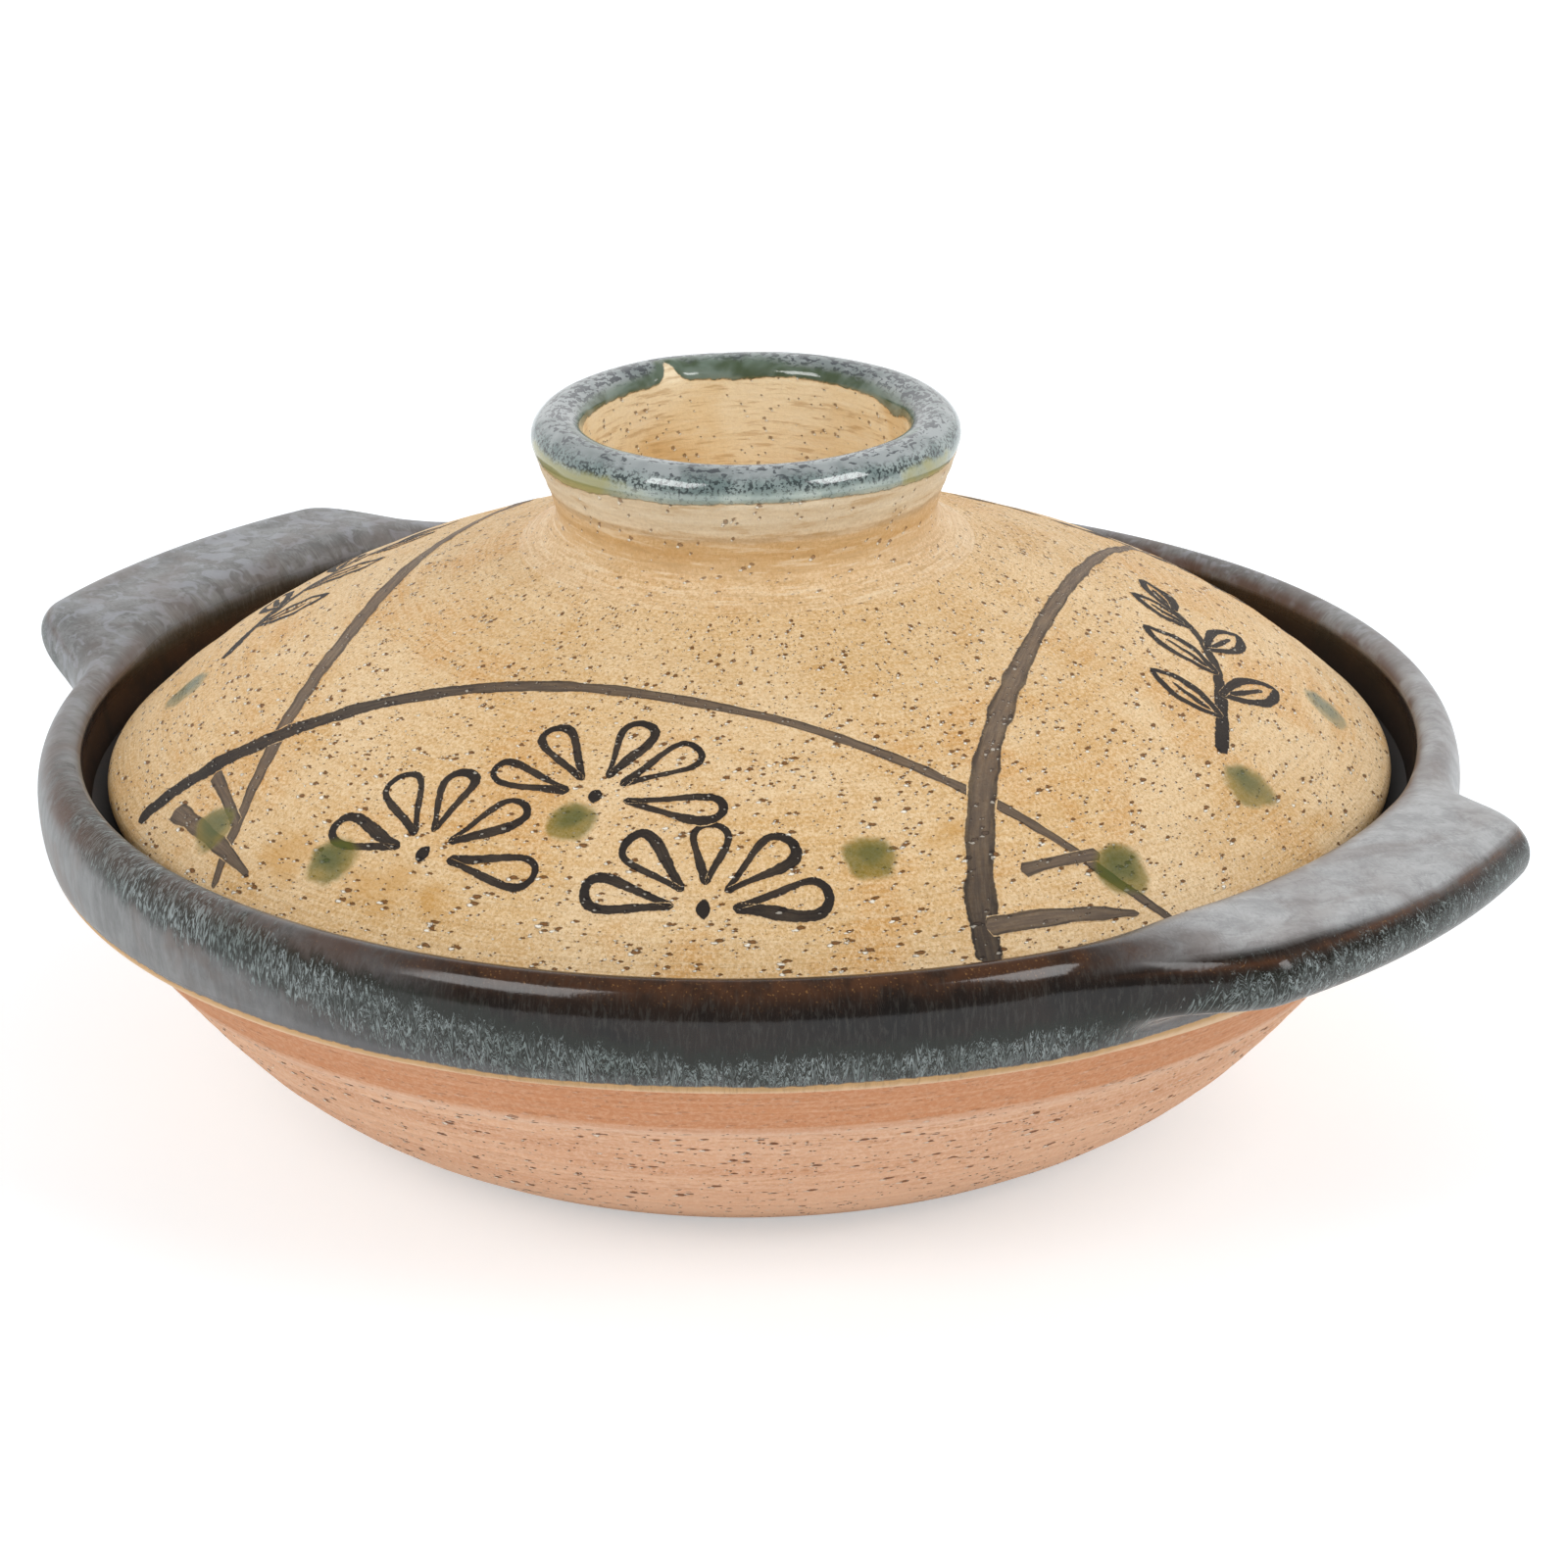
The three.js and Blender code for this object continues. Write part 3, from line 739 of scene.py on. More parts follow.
# Painted light: the bowl's clay is laid paler towards the foot, standing in for light bounced from the
# floor
FOOT_BOUNCE_LIGHT = (18.0 * MM, 3.0 * MM)  # the bowl pales downwards here
middle = profile(
    22,
    sweep(MIDDLE_TOP, HOLLOW_LEAVES, (BASE_FLAT_R, MIDDLE_Z), HOLLOW_ARRIVES, 40),
    line((BASE_FLAT_R, MIDDLE_Z), (BOWL_POLE_R, MIDDLE_Z), 8),
)
wall_foot = (BASE_R + 1.2, 0.5)
bowl_profile = profile(
    150,
    line((BOWL_POLE_R, 0.0), (BASE_FLAT_R, 0.0), 12),
    bend((BASE_FLAT_R, 0.0), (BASE_R, 0.0), wall_foot, 6),
    sweep(wall_foot, 23, (BOWL_TOP_R, RIM_LOW), 48, 60),
)
bowl_far = lengths(bowl_profile)[:, None]
bowl_height = bowl_profile[:, 1, None]
on_wall = ramp(bowl_height, 2.0, 3.0) * ramp(bowl_height, RIM_LOW, -3.0)
coarse = 0.35 + 0.65 * ramp(bowl_height, BAND_Z, -3.0)
groove = 0.10 * np.sin(1.9 * bowl_far) + 0.07 * np.sin(4.6 * bowl_far + 0.7 * np.sin(2 * turns))
ridge = 0.18 * hump(bowl_height, BAND_Z, 1.1)
bowl_rows = spun(bowl_profile, turns, on_wall * (coarse * groove + ridge - 0.2))
bowl_rows[:, :, 2] = np.maximum(bowl_rows[:, :, 2], 0.0)
bowl_rows = np.concatenate([bowl_rows, spun(middle, turns)])


def bowl_material():
    g = Graph("red_clay")
    place = g.place()
    wheel, unrolled = g.wheel(place, 1.0)
    z = g.split(place)[2]
    lines = g.drawn(wheel, 1.6, 800.0, 4.0, 0.7)
    bands = g.drawn(wheel, 1.2, 110.0, 2.0, 0.5)
    drags = g.drawn(wheel, 20.0, 1100.0, 3.0, 0.6)
    patches = g.noise(place, 30.0, 3.0, 0.55)
    grain = g.noise(place, 1400.0, 3.0, 0.7)
    band = g.remap(g.add(z, g.swing(bands, 0.003)), (BAND_Z - 1.0) * MM, (BAND_Z + 0.8) * MM)
    open_clay = g.blend(band, 1.0, 0.45)
    calm = g.blend(band, 1.0, 0.25)
    g.colour = g.fade(patches, 0.35, 0.65, (0.74, 0.430, 0.262), (0.80, 0.485, 0.305))
    g.over((0.60, 0.245, 0.100), band, 0.85)
    g.lay((0.63, 0.300, 0.155), bands, 0.48, 0.66, 0.50)
    g.over((0.87, 0.590, 0.405), g.remap(lines, 0.46, 0.66, 0.0, 0.60), open_clay)
    g.lay((0.52, 0.235, 0.110), drags, 0.53, 0.68, 0.55)
    g.over((0.89, 0.64, 0.47), g.remap(grain, 0.42, 0.66, 0.0, 0.55), open_clay)
    # painted bounce light from the floor, paler towards the foot
    g.lay((0.90, 0.610, 0.420), z, *FOOT_BOUNCE_LIGHT, 0.75)
    # painted highlight: a pale belt along the ridge at the smooth band's foot
    g.over((0.84, 0.66, 0.53), g.belt(z, BAND_Z, (-1.9, -0.5), (1.3, 0.0)), 0.25)
    pits_and_shade, grains_and_glints = (g.times(spots, calm) for spots in g.grog(unrolled, BOWL_GROG))
    # The pits' dark is partly painted shade in them, and the grains' pale partly painted glints on their
    # lit edges
    g.over((0.165, 0.052, 0.016), pits_and_shade, 0.88)
    g.over((0.92, 0.82, 0.71), grains_and_glints, 0.90)
    stand = g.minus(g.times(grains_and_glints, 0.6), g.times(pits_and_shade, 0.7))
    g.height = g.add(stand, g.times(lines, g.blend(band, 0.55, 0.2)), g.times(grain, 0.18))
    g.roughness = g.remap(patches, 0.3, 0.7, 0.82, 0.70)
    g.set(Specular_IOR_Level=0.25)
    return g.fired(0.0005)


bowl = skin("pot_bowl_clay", bowl_rows, (0, 0, 0), (0, 0, MIDDLE_Z))
bowl.data.materials.append(bowl_material())
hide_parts("pot_bowl")
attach(bowl, "pot")

# Rim, lugs, gallery and the inside of the bowl: one glazed piece. A section of the rim turns into a
# section of a lug as the turn comes to the lug's place.

LEFT_LUG_ASKEW = math.radians(1.2)  # the left lug was set on a little to the front


def lug_share(turn):
    """How much of the section at a turn belongs to a lug."""
    outer = LUG_HALF_WIDTH / LUG_TIP_R
    rim = (LUG_HALF_WIDTH + LUG_FLARE) / RIM_R
    turn = turn - LEFT_LUG_ASKEW * (np.cos(turn) < 0)
    off = np.abs((turn + math.pi / 2) % math.pi - math.pi / 2)
    share = np.clip((rim - off) / (rim - outer), 0, 1) ** 1.35
    return share * share * (3 - 2 * share)


fine = np.arange(-32.0, 32.0, 0.4)
wide = np.arange(32.0, 148.0, 1.0)
rim_turns = np.radians(np.concatenate([fine, wide, fine + 180, wide + 180]))
under_rise = RIM_WIDE_Z - RIM_LOW
over_rise = RIM_TOP - RIM_WIDE_Z
lower_plain = arc((LEDGE_R, RIM_WIDE_Z), RIM_R - LEDGE_R, under_rise, -90, -20, 30)
edge_plain = join(
    arc((LEDGE_R, RIM_WIDE_Z), RIM_R - LEDGE_R, under_rise, -20, 0, 10),
    arc((CREST_R, RIM_WIDE_Z), RIM_R - CREST_R, over_rise, 0, 55, 20),
)
top_plain = join(
    arc((CREST_R, RIM_WIDE_Z), RIM_R - CREST_R, over_rise, 55, 90, 12),
    arc((CREST_R, MOUTH_Z), CREST_R - MOUTH_R, RIM_TOP - MOUTH_Z, 90, 180, 16),
)
lug_in = LUG_TIP_R - LUG_ROUND
lug_middle_z = LUG_TOP - LUG_THICK / 2
lower_lug = sweep((LEDGE_R, RIM_LOW), 62, (lug_in, LUG_TOP - LUG_THICK), 8, 40, 0.55)
edge_lug = arc((lug_in, lug_middle_z), LUG_ROUND, LUG_THICK / 2, -90, 90, 40)
top_lug = sweep((lug_in, LUG_TOP), 185, (MOUTH_R, MOUTH_Z), 262, 40, 0.42)
SECTION_STEPS = (22, 26, 20)
plain, lugged = (
    join(*(even(points, steps) for points, steps in zip(stretches, SECTION_STEPS)))
    for stretches in ((lower_plain, edge_plain, top_plain), (lower_lug, edge_lug, top_lug))
)
inside = profile(
    58,
    line((MOUTH_R, MOUTH_Z), (GALLERY_R, SEAT_Z + 1.5), 8),
    bend((GALLERY_R, SEAT_Z + 1.5), (GALLERY_R - 0.1, SEAT_Z), (GALLERY_R - 1.8, SEAT_Z), 6),
    line((GALLERY_R - 1.8, SEAT_Z), (SEAT_INNER_R + SEAT_ROUND, SEAT_Z), 8),
    arc((SEAT_INNER_R + SEAT_ROUND, SEAT_Z - SEAT_ROUND), SEAT_ROUND, SEAT_ROUND, 90, 180, 8),
    sweep((SEAT_INNER_R, SEAT_Z - SEAT_ROUND), HOLLOW_LEAVES, (FLOOR_R, FLOOR_Z), HOLLOW_ARRIVES, 40),
    line((FLOOR_R, FLOOR_Z), (BOWL_POLE_R, FLOOR_Z), 12),
)[1:]
share = lug_share(rim_turns)
section = plain[:, None, :] * (1 - share[:, None]) + lugged[:, None, :] * share[:, None]
ledge = np.concatenate([middle[::-1], line(MIDDLE_TOP, (LEDGE_R, RIM_LOW), 6)[1:-1]])
ledge, inside = (np.repeat(points[:, None, :], len(rim_turns), axis=1) for points in (ledge, inside))
rz = np.concatenate([ledge, section, inside])
first, last = len(ledge), len(ledge) + len(section)
free = np.zeros((len(rz), 1))
free[first:last, 0] = np.sin(np.linspace(0, math.pi, last - first)) ** 0.5
rz[:, :, 0] += free * (wander(rim_turns, 21, (2, 3, 4, 6), 0.25) - 0.2)
rz[:, :, 1] += free * (wander(rim_turns, 22, (2, 3, 5, 7), 0.2) - 0.15)
rim_rows = rows_of(rz[:, :, 0], rz[:, :, 1], rim_turns)

# Marks for the glaze: height above its lower edge, edges where it runs thin, the gallery and the inside,
# the satin tops of the lugs, whose grey is partly painted reflection, the side laid lighter as painted
# light, and where pale feathers stand in the dark


def over_rows(start, stop, values, elsewhere=0.0):
    """A mark with values on some rows of the piece, and one value on the others."""
    mark = np.full(rz.shape[:2], elsewhere)
    mark[start:stop] = values
    return mark


def round_rim(*stops):
    """A value that runs round the rim through (degrees, value) stops."""
    at, values = zip(*stops)
    return np.interp(np.degrees(rim_turns), at, values, period=360)


GALLERY_ROWS = 24
BARE_LINE = 2.0  # the glaze stops this far from the ledge
steps = np.diff(rz[first:], axis=0, prepend=rz[first : first + 1])
travel = np.cumsum(np.linalg.norm(steps, axis=2), axis=0)
bare = BARE_LINE + wander(rim_turns, 31, (3, 5, 8, 13, 21, 34), 0.35) + 0.5 * near(rim_turns, -118, 28)
above_bare = over_rows(first, None, travel - bare, -3.0)
inward = over_rows(last, None, 1.0)
into_gallery = np.clip(0.4 + np.arange(GALLERY_ROWS) / 8, 0, 1)
gallery = over_rows(last, last + GALLERY_ROWS, into_gallery[:, None])

# position runs over the section from the ledge to the mouth, and level is the height on the rim
position = np.linspace(0, 1, last - first)[:, None]
level = (rz[first:last, :, 1] - RIM_LOW) / (RIM_TOP - RIM_LOW)
face = position < 0.9
off_lugs = 1 - share

crest = hump(position, 0.94, 0.05 - 0.02 * share)
crest = crest * (1 - 0.75 * share * near(rim_turns, 180, 60)) * (1 - 0.75 * near(rim_turns, -125, 26))
lug_edge = hump(position, 0.60, 0.015) * share
rim_top = hump(position, 0.76, 0.10) * off_lugs * (0.40 + 0.60 * near(rim_turns, -46, 34))
scorched = hump(level, 0.86, 0.10) * face * off_lugs * near(rim_turns, -122, 9)
thin = over_rows(first, last, np.clip(crest + lug_edge + rim_top + scorched, 0, 1))
thin[last : last + 3] = 0.2 + 0.6 * near(rim_turns, 180, 70)

# Where the pale feathers stand in the dark: high on the rim at the left, low at the front
feather_level = round_rim(
    (-135, 0.95), (-118, 0.94), (-105, 0.88), (-92, 0.76),
    (-80, 0.53), (-66, 0.31), (-50, 0.19), (-30, 0.22),
)
feather_width = round_rim(
    (-135, 0.16), (-105, 0.23), (-90, 0.26), (-75, 0.24),
    (-60, 0.19), (-35, 0.19), (60, 0.20),
)
feather_share = round_rim(
    (-140, 0.0), (-126, 0.5), (-114, 1.0), (-20, 1.0),
    (40, 0.3), (150, 0.2), (-160, 0.0),
)
combed_share = round_rim((-152, 0.0), (-132, 1.0), (-95, 1.0), (-72, 0.0))
combed = over_rows(first, last, combed_share)
feather_level = feather_level + wander(rim_turns, 41, (5, 8, 13, 21), 0.05)
fall = level - feather_level
fall = np.where(fall > 0, fall, (0.45 + 0.55 * combed_share) * fall) / feather_width
on_lug = share * hump(position, 0.45, 0.15)
feathered = hump(fall, 0, 1) * face * feather_share
feather = over_rows(first, last, feathered * off_lugs + on_lug)
shaded = hump(fall, 0.5 - 0.55 * combed_share, 1) * face * feather_share
left_tip = share * near(rim_turns, -166, 5) * hump(position, 0.54, 0.10)
shade = over_rows(first, last, np.maximum(shaded * off_lugs + on_lug, left_tip))

# Satin grey: the tops of the lugs, and the rim away from the front. Its grey is partly the glaze's own and
# partly painted reflection of the lamps
satin_share = round_rim((-120, 1.0), (-100, 0.9), (-84, 0.4), (-72, 0.0), (-12, 0.0), (0, 1.0))
on_top = share * ramp(position, 0.59 + 0.05 * near(rim_turns, -15, 9), 0.04)
beside = satin_share * off_lugs * ramp(level, 0.05, 0.15)
lug_end = share * off_lugs * 2.4 * near(rim_turns, -158, 14) * ramp(position, 0.35, 0.1)
satin_top = np.clip(on_top + beside + lug_end, 0, 1)
flange = over_rows(first, last, satin_top * ramp(position, 0.99, -0.04))
# Painted light: the satin grey is laid lighter on the side of the rim that faces the key lamp
light_side = over_rows(first, last, round_rim((-45, 1.0), (40, 1.0), (75, 0.0), (-110, 0.0)))


def glaze_material():
    """Iron glaze: near black, rust where it thins on edges, pale feathers, satin on the lugs' tops. The
    satin grey is partly painted reflection and is painted lighter on the lit side; the grey low band is
    partly painted reflection of the floor.
    """
    g = Graph("dark_glaze")
    place = g.place()
    loose = g.shaken(g.wheel(place, -1.0)[0], 90.0, 0.010)
    flecks = g.drawn(loose, 230.0, 3000.0, 3.0, 0.62, 0.9)
    hairs = g.drawn(loose, 290.0, 760.0, 3.0, 0.62, 0.3)
    faint = g.drawn(loose, 210.0, 420.0, 3.0, 0.65)
    tufts = g.drawn(loose, 40.0, 300.0, 3.0, 0.6)
    brushed = g.drawn(loose, 26.0, 1700.0, 3.0, 0.6)
    cloud = g.noise(place, 60.0, 4.0, 0.6, 0.6)
    mottle = g.noise(place, 230.0, 4.0, 0.62, 0.5)
    combed, satin, in_gallery = g.mark("combed"), g.mark("flange"), g.mark("gallery")
    outside = g.rest(g.mark("inner"))
    # the dark, and the grey where it pools at the lower edge, partly a painted reflection of the
    # white floor
    g.colour = g.fade(cloud, 0.35, 0.65, (0.0060, 0.0046, 0.0040), (0.0160, 0.0095, 0.0066))
    g.over((0.047, 0.045, 0.039), g.remap(faint, 0.46, 0.68, 0.0, 0.50), outside)
    ragged = g.add(g.mark("above"), g.swing(g.noise(place, 800.0), 0.7))
    pool_and_floor_reflection = g.times(g.remap(g.add(ragged, g.swing(tufts, 1.4)), 2.6, 0.9), outside)
    g.over((0.098, 0.098, 0.101), pool_and_floor_reflection, 0.85)
    # satin grey, partly painted reflection of the lamps, and painted lighter on the lit side
    streaks = g.remap(g.add(g.times(mottle, 0.5), g.times(brushed, 0.5)), 0.38, 0.62)
    drips = g.remap(g.drawn(loose, 60.0, 130.0, 3.0, 0.6), 0.34, 0.68)
    streaks = g.blend(g.times(combed, 0.6), streaks, drips)
    low_grey = g.mix(streaks, (0.135, 0.138, 0.137), (0.245, 0.252, 0.254))
    rings = g.remap(g.noise(place, 330.0, 2.0, 0.5, 0.9), 0.50, 0.62, 0.0, 0.60)
    low_grey = g.mix(g.times(rings, g.rest(combed)), low_grey, (0.320, 0.332, 0.368))
    lit_grey = g.mix(streaks, (0.290, 0.293, 0.297), (0.430, 0.436, 0.442))
    grey = g.mix(g.mark("light_side"), low_grey, lit_grey)
    warmth = g.times(g.remap(cloud, 0.46, 0.66), g.blend(combed, 0.40, 0.75))
    g.over(g.mix(warmth, grey, (0.150, 0.112, 0.095)), satin, 0.95)
    # feathers, and the deeper dark that they stand in
    zone = g.remap(g.add(g.mark("feather"), g.swing(tufts, 1.1), g.swing(hairs, 0.9)), 0.25, 0.85)
    shade = g.remap(g.add(g.mark("shade"), g.swing(tufts, 1.1), g.swing(hairs, 0.5)), 0.25, 0.80)
    g.over((0.013, 0.016, 0.011), shade, 0.92)
    gaps = g.remap(g.drawn(loose, 52.0, 620.0, 2.0), 0.38, 0.50, 0.25, 1.0)
    dense = g.remap(g.add(g.blend(combed, flecks, hairs), g.swing(zone, 0.14)), 0.52, 0.65)
    strand = g.times(g.remap(zone, 0.04, 0.40), gaps, dense)
    pale = g.fade(cloud, 0.38, 0.62, (0.180, 0.220, 0.212), (0.300, 0.345, 0.345))
    g.over(pale, strand, 0.90)
    # rust with specks of gold, the dull gallery, and the bare clay below the edge, laid paler further down
    # partly as painted light bounced onto the ledge
    rust = g.times(g.mark("thin"), g.remap(g.noise(place, 150.0, 3.0, 0.65), 0.34, 0.58, 0.30, 1.0))
    g.over((0.082, 0.033, 0.014), g.math("MULTIPLY", rust, 0.85, clamp=True))
    gold = g.times(rust, g.rest(satin), g.remap(g.noise(place, 2700.0, 1.0), 0.65, 0.73))
    g.over((0.34, 0.175, 0.06), gold, 0.55)
    g.over((0.0170, 0.0125, 0.0095), in_gallery, 0.85)
    coated = g.remap(ragged, -0.10, 0.25)
    clay = g.fade(ragged, -1.7, -0.3, (0.82, 0.60, 0.39), (0.60, 0.370, 0.170))
    g.over(clay, g.rest(coated))
    gloss = g.blend(satin, g.remap(zone, 0.1, 1.0, 0.12, 0.24), 0.40)
    g.roughness = g.blend(coated, 0.7, g.blend(in_gallery, gloss, 0.85))
    g.height = g.add(g.times(mottle, 0.12), g.times(coated, 0.6), g.times(strand, 0.10))
    g.set(Specular_IOR_Level=0.40)
    return g.fired(0.0004)


rim = skin(
    "pot_glazed_rim",
    rim_rows,
    (0, 0, MIDDLE_Z),
    (0, 0, FLOOR_Z),
    above=above_bare,
    thin=thin,
    inner=inward,
    gallery=gallery,
    feather=feather,
    combed=combed,
    shade=shade,
    flange=flange,
    light_side=light_side,
)
rim.data.materials.append(glaze_material())
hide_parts("lug_handle_right", "lug_handle_left")
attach(rim, "pot")

# Brushwork on the lid. A stroke is a thin closed pad on the clay; places on the lid are (radius in
# millimetres, angle in degrees).

STROKE_ACROSS = np.array([-1, -1, -0.75, -0.5, -0.25, 0, 0.25, 0.5, 0.75, 1, 1])
STROKE_SUNK = np.array([1, 0, 0, 0, 0, 0, 0, 0, 0, 0, 1]) * 0.35
STROKE_SHARP = math.radians(30)
STROKE_STEP = 0.7
STROKE_WAVER = 0.16
STROKE_LIFT = 0.05
STROKE_STAGGER = 0.004  # strokes lie at different heights, so that two never share a surface
LID_SLOPE = 1.25  # how much longer a line uphill is than its plan, about
LID_LEAN = 0.82  # and how long its plan is
stroke_points, stroke_faces, stroke_uv, stroke_wet = [], [], [], []


def smooth(points, count):
    """A smooth curve through the points."""
    points = np.asarray(points, float)
    padded = np.vstack([2 * points[0] - points[1], points, 2 * points[-1] - points[-2]])
    spans = len(points) - 1
    at = np.linspace(0, spans, count)
    k = np.minimum(at.astype(int), spans - 1)
    t = (at - k)[:, None]
    a, b, c, d = padded[k], padded[k + 1], padded[k + 2], padded[k + 3]
    return 0.5 * (2 * b + (c - a) * t + (2 * a - 5 * b + 4 * c - d) * t**2 + (3 * b - a - 3 * c + d) * t**3)


def plan(path):
    """Plan positions of (radius, degrees) points."""
    path = np.asarray(path, float)
    turn = np.radians(path[:, 1])
    return np.stack([path[:, 0] * np.cos(turn), path[:, 0] * np.sin(turn)], 1)


def spread_over(values, t):
    return np.interp(t, np.linspace(0, 1, len(values)), values)


def paint(path, width, wet):
    """Lays one stroke along plan points; width and wetness are given along it."""
    seed = len(stroke_points)
    rng = np.random.default_rng(100 + seed)
    length = lengths(path)[-1] * LID_SLOPE
    count = max(10, int(length / STROKE_STEP))
    path = even(path, count)
    t = np.linspace(0, 1, count)
    half = 0.5 * spread_over(width, t)
    half = half * (1 + STROKE_WAVER * spread_over(rng.uniform(-1, 1, max(4, count // 4)), t))
    cap = np.clip(np.minimum(t, 1 - t) * length / half.mean(), 0, 1)
    half = half * np.sqrt(np.clip(1 - (1 - cap) ** 2, 0.04, 1))
    ring = len(STROKE_ACROSS)
    places = path[:, None, :] - normals(path)[:, None, :] * (half[:, None] * STROKE_ACROSS)[:, :, None]
    r = np.clip(np.hypot(places[:, :, 0], places[:, :, 1]), CROWN_R + 0.5, LID_R - 1.0)
    turn = np.arctan2(places[:, :, 1], places[:, :, 0])
    lift = STROKE_LIFT + STROKE_STAGGER * (seed % 12) - STROKE_SUNK
    start = sum(len(points) for points in stroke_points)
    stroke_points.append(on_lid(r, turn, lift).reshape(-1, 3))
    grid = start + np.arange(count * ring).reshape(count, ring)
    beside = np.roll(grid, -1, axis=1)
    stroke_faces.extend(np.stack([grid[:-1], grid[1:], beside[1:], beside[:-1]], 2).reshape(-1, 4).tolist())
    stroke_faces.extend([grid[0].tolist(), grid[-1, ::-1].tolist()])
    u = np.broadcast_to((t * length * 0.016 + 3.7 * seed)[:, None], (count, ring))
    v = np.broadcast_to((STROKE_ACROSS + 1) / 2, (count, ring))
    stroke_uv.append(np.stack([u, v], 2).reshape(-1, 2))
    stroke_wet.append(np.repeat(spread_over(wet, t), ring))


def draw(centre, points, width, wet):
    """Lays one stroke along (sideways, uphill) distances about a place on the lid."""
    r0, angle = centre
    points = np.asarray(points, float)
    r = r0 - points[:, 1] * LID_LEAN
    turn = angle + np.degrees(points[:, 0] / (r0 - LID_LEAN / 2 * points[:, 1]))
    paint(plan(np.stack([r, turn], 1)), width, wet)


def outline(direction, reach, side):
    """Points at distances along a direction and across it."""
    way = heading(direction)
    return reach[:, None] * way + side[:, None] * np.array([-way[1], way[0]])


PETAL_ROOT = 3.1  # how far from the middle of the flower a petal starts


def petal(centre, direction, size, breadth, width):
    """One petal in outline, from near the flower's middle out to its tip and back."""
    t = np.linspace(0.01, 0.99, 60)
    arched = np.sin(math.pi * t)
    shake = np.random.default_rng(len(stroke_points)).uniform(-1, 1, 4)
    reach = PETAL_ROOT + (size - 0.7 - PETAL_ROOT) * arched**0.75
    reach = reach + 0.35 * arched * np.sin(9 * t + 3 * shake[0]) * shake[1]
    side = 0.5 * breadth * np.sin(2 * math.pi * t) * (0.55 + 0.45 * arched)
    side = side + 0.45 * arched * np.sin(8 * t + 3 * shake[2]) * shake[3]
    draw(centre, outline(direction, reach, side), width, (0.95, 0.85, 1.0, 0.85, 0.95))


# The brush's width round a petal, and the breadths of the petals of a flower
PETAL_WIDTHS = (
    (0.8, 1.1, 1.2, 1.5, 1.9, 1.3),
    (1.5, 1.2, 1.0, 1.2, 1.1, 0.8),
    (1.0, 1.1, 1.3, 1.7, 1.2, 0.9),
)
PETAL_BREADTHS = (5.6, 6.4, 6.0, 6.4, 5.6)


def flower(centre, directions, sizes, first_width):
    """Half of an open flower: petals over a fan, and its middle."""
    for i, (direction, size, breadth) in enumerate(zip(directions, sizes, PETAL_BREADTHS)):
        width = PETAL_WIDTHS[(i + first_width) % len(PETAL_WIDTHS)]
        petal(centre, direction, size, breadth, width)
    draw(centre, [(-1.0, 0.0), (0.0, 0.1), (1.0, 0.0)], (2.2, 2.7, 2.2), (1.0, 1.0))


def leaf(centre, root, direction, size, breadth):
    """A narrow pointed leaf in outline, with its rib."""
    t = np.linspace(0, 1, 60)
    reach = size * (1 - np.abs(2 * t - 1) ** 1.15)
    side = 0.5 * breadth * np.sin(2 * math.pi * t)
    path = root + outline(direction, reach, side)
    draw(centre, path, (1.2, 1.6, 1.3, 1.7, 1.2), (0.95, 0.9, 1.0, 0.9, 0.95))
    rib = root + outline(direction, np.linspace(0.15, 0.72, 12) * size, np.zeros(12))
    draw(centre, rib, (1.2, 1.1, 0.8), (0.95, 0.85))


# Leaves of a spray: root across and uphill, direction in degrees, length and breadth
LEAVES = (
    (-12, -5.8, 82, 14, 5.2), (-6, -3.2, -28, 15, 5.2), (0, -0.8, 74, 15, 5.4),
    (7, 2.5, -22, 14, 5.0), (12, 5.6, 66, 12, 4.6), (17, 9.0, 24, 11, 4.2),
)


def spray(centre, mirror):
    """A stem with narrow leaves on both sides."""
    stem = smooth([(-20, -10), (-8, -4), (4, 1), (17, 9)], 40) * (mirror, 1)
    draw(centre, stem, (2.2, 1.8, 1.3), (1.0, 0.9, 0.85))
    for x, y, direction, size, breadth in LEAVES:
        turned = direction if mirror > 0 else 180 - direction
        leaf(centre, (mirror * x, y), turned, size, breadth)


# Arches, each drawn through (radius, degrees from its middle). The right one is even about it.
LONG_ARCH = (
    (96.0, -54.3), (88.2, -52.3), (75.4, -46.1), (62.5, -35.8), (53.0, -17.0), (52.5, 6.0),
    (58.7, 25.0), (69.3, 37.8), (80.8, 46.3), (90.0, 51.0), (96.4, 54.4),
)
RIGHT_HALF = ((49.8, 14.0), (58.2, 34.0), (69.4, 45.0), (81.1, 50.6), (90.2, 53.1), (96.2, 53.9))
LEFT_ARCH = (
    (96.4, -60.0), (84.0, -54.0), (68.0, -44.0), (55.0, -31.0), (50.4, -14.0), (52.2, 7.8),
    (60.3, 28.8), (74.2, 42.7), (85.6, 49.9), (93.7, 53.6), (96.6, 54.9),
)
BOTH_SIDES = (0.0, 180.0)
LEFT_WIDTHS = (1.8, 2.2, 2.6, 2.8, 3.0, 3.2, 3.0, 1.3)
LEFT_WET = (0.40, 0.40, 0.42, 0.46, 0.50, 0.52, 0.56, 0.65)
LONG_WIDTHS = (3.5, 3.3, 2.8, 2.2, 1.9, 1.9, 1.8, 1.4)
LONG_WET = (0.95, 0.85, 0.75, 0.65, 0.60, 0.60, 0.62, 0.70)
RIGHT_WIDTHS = (4.8, 4.3, 3.7, 2.8, 2.3, 2.0, 1.8, 1.6)
RIGHT_WET = (0.80, 0.60, 0.50, 0.50, 0.50, 0.50, 0.45, 0.40)
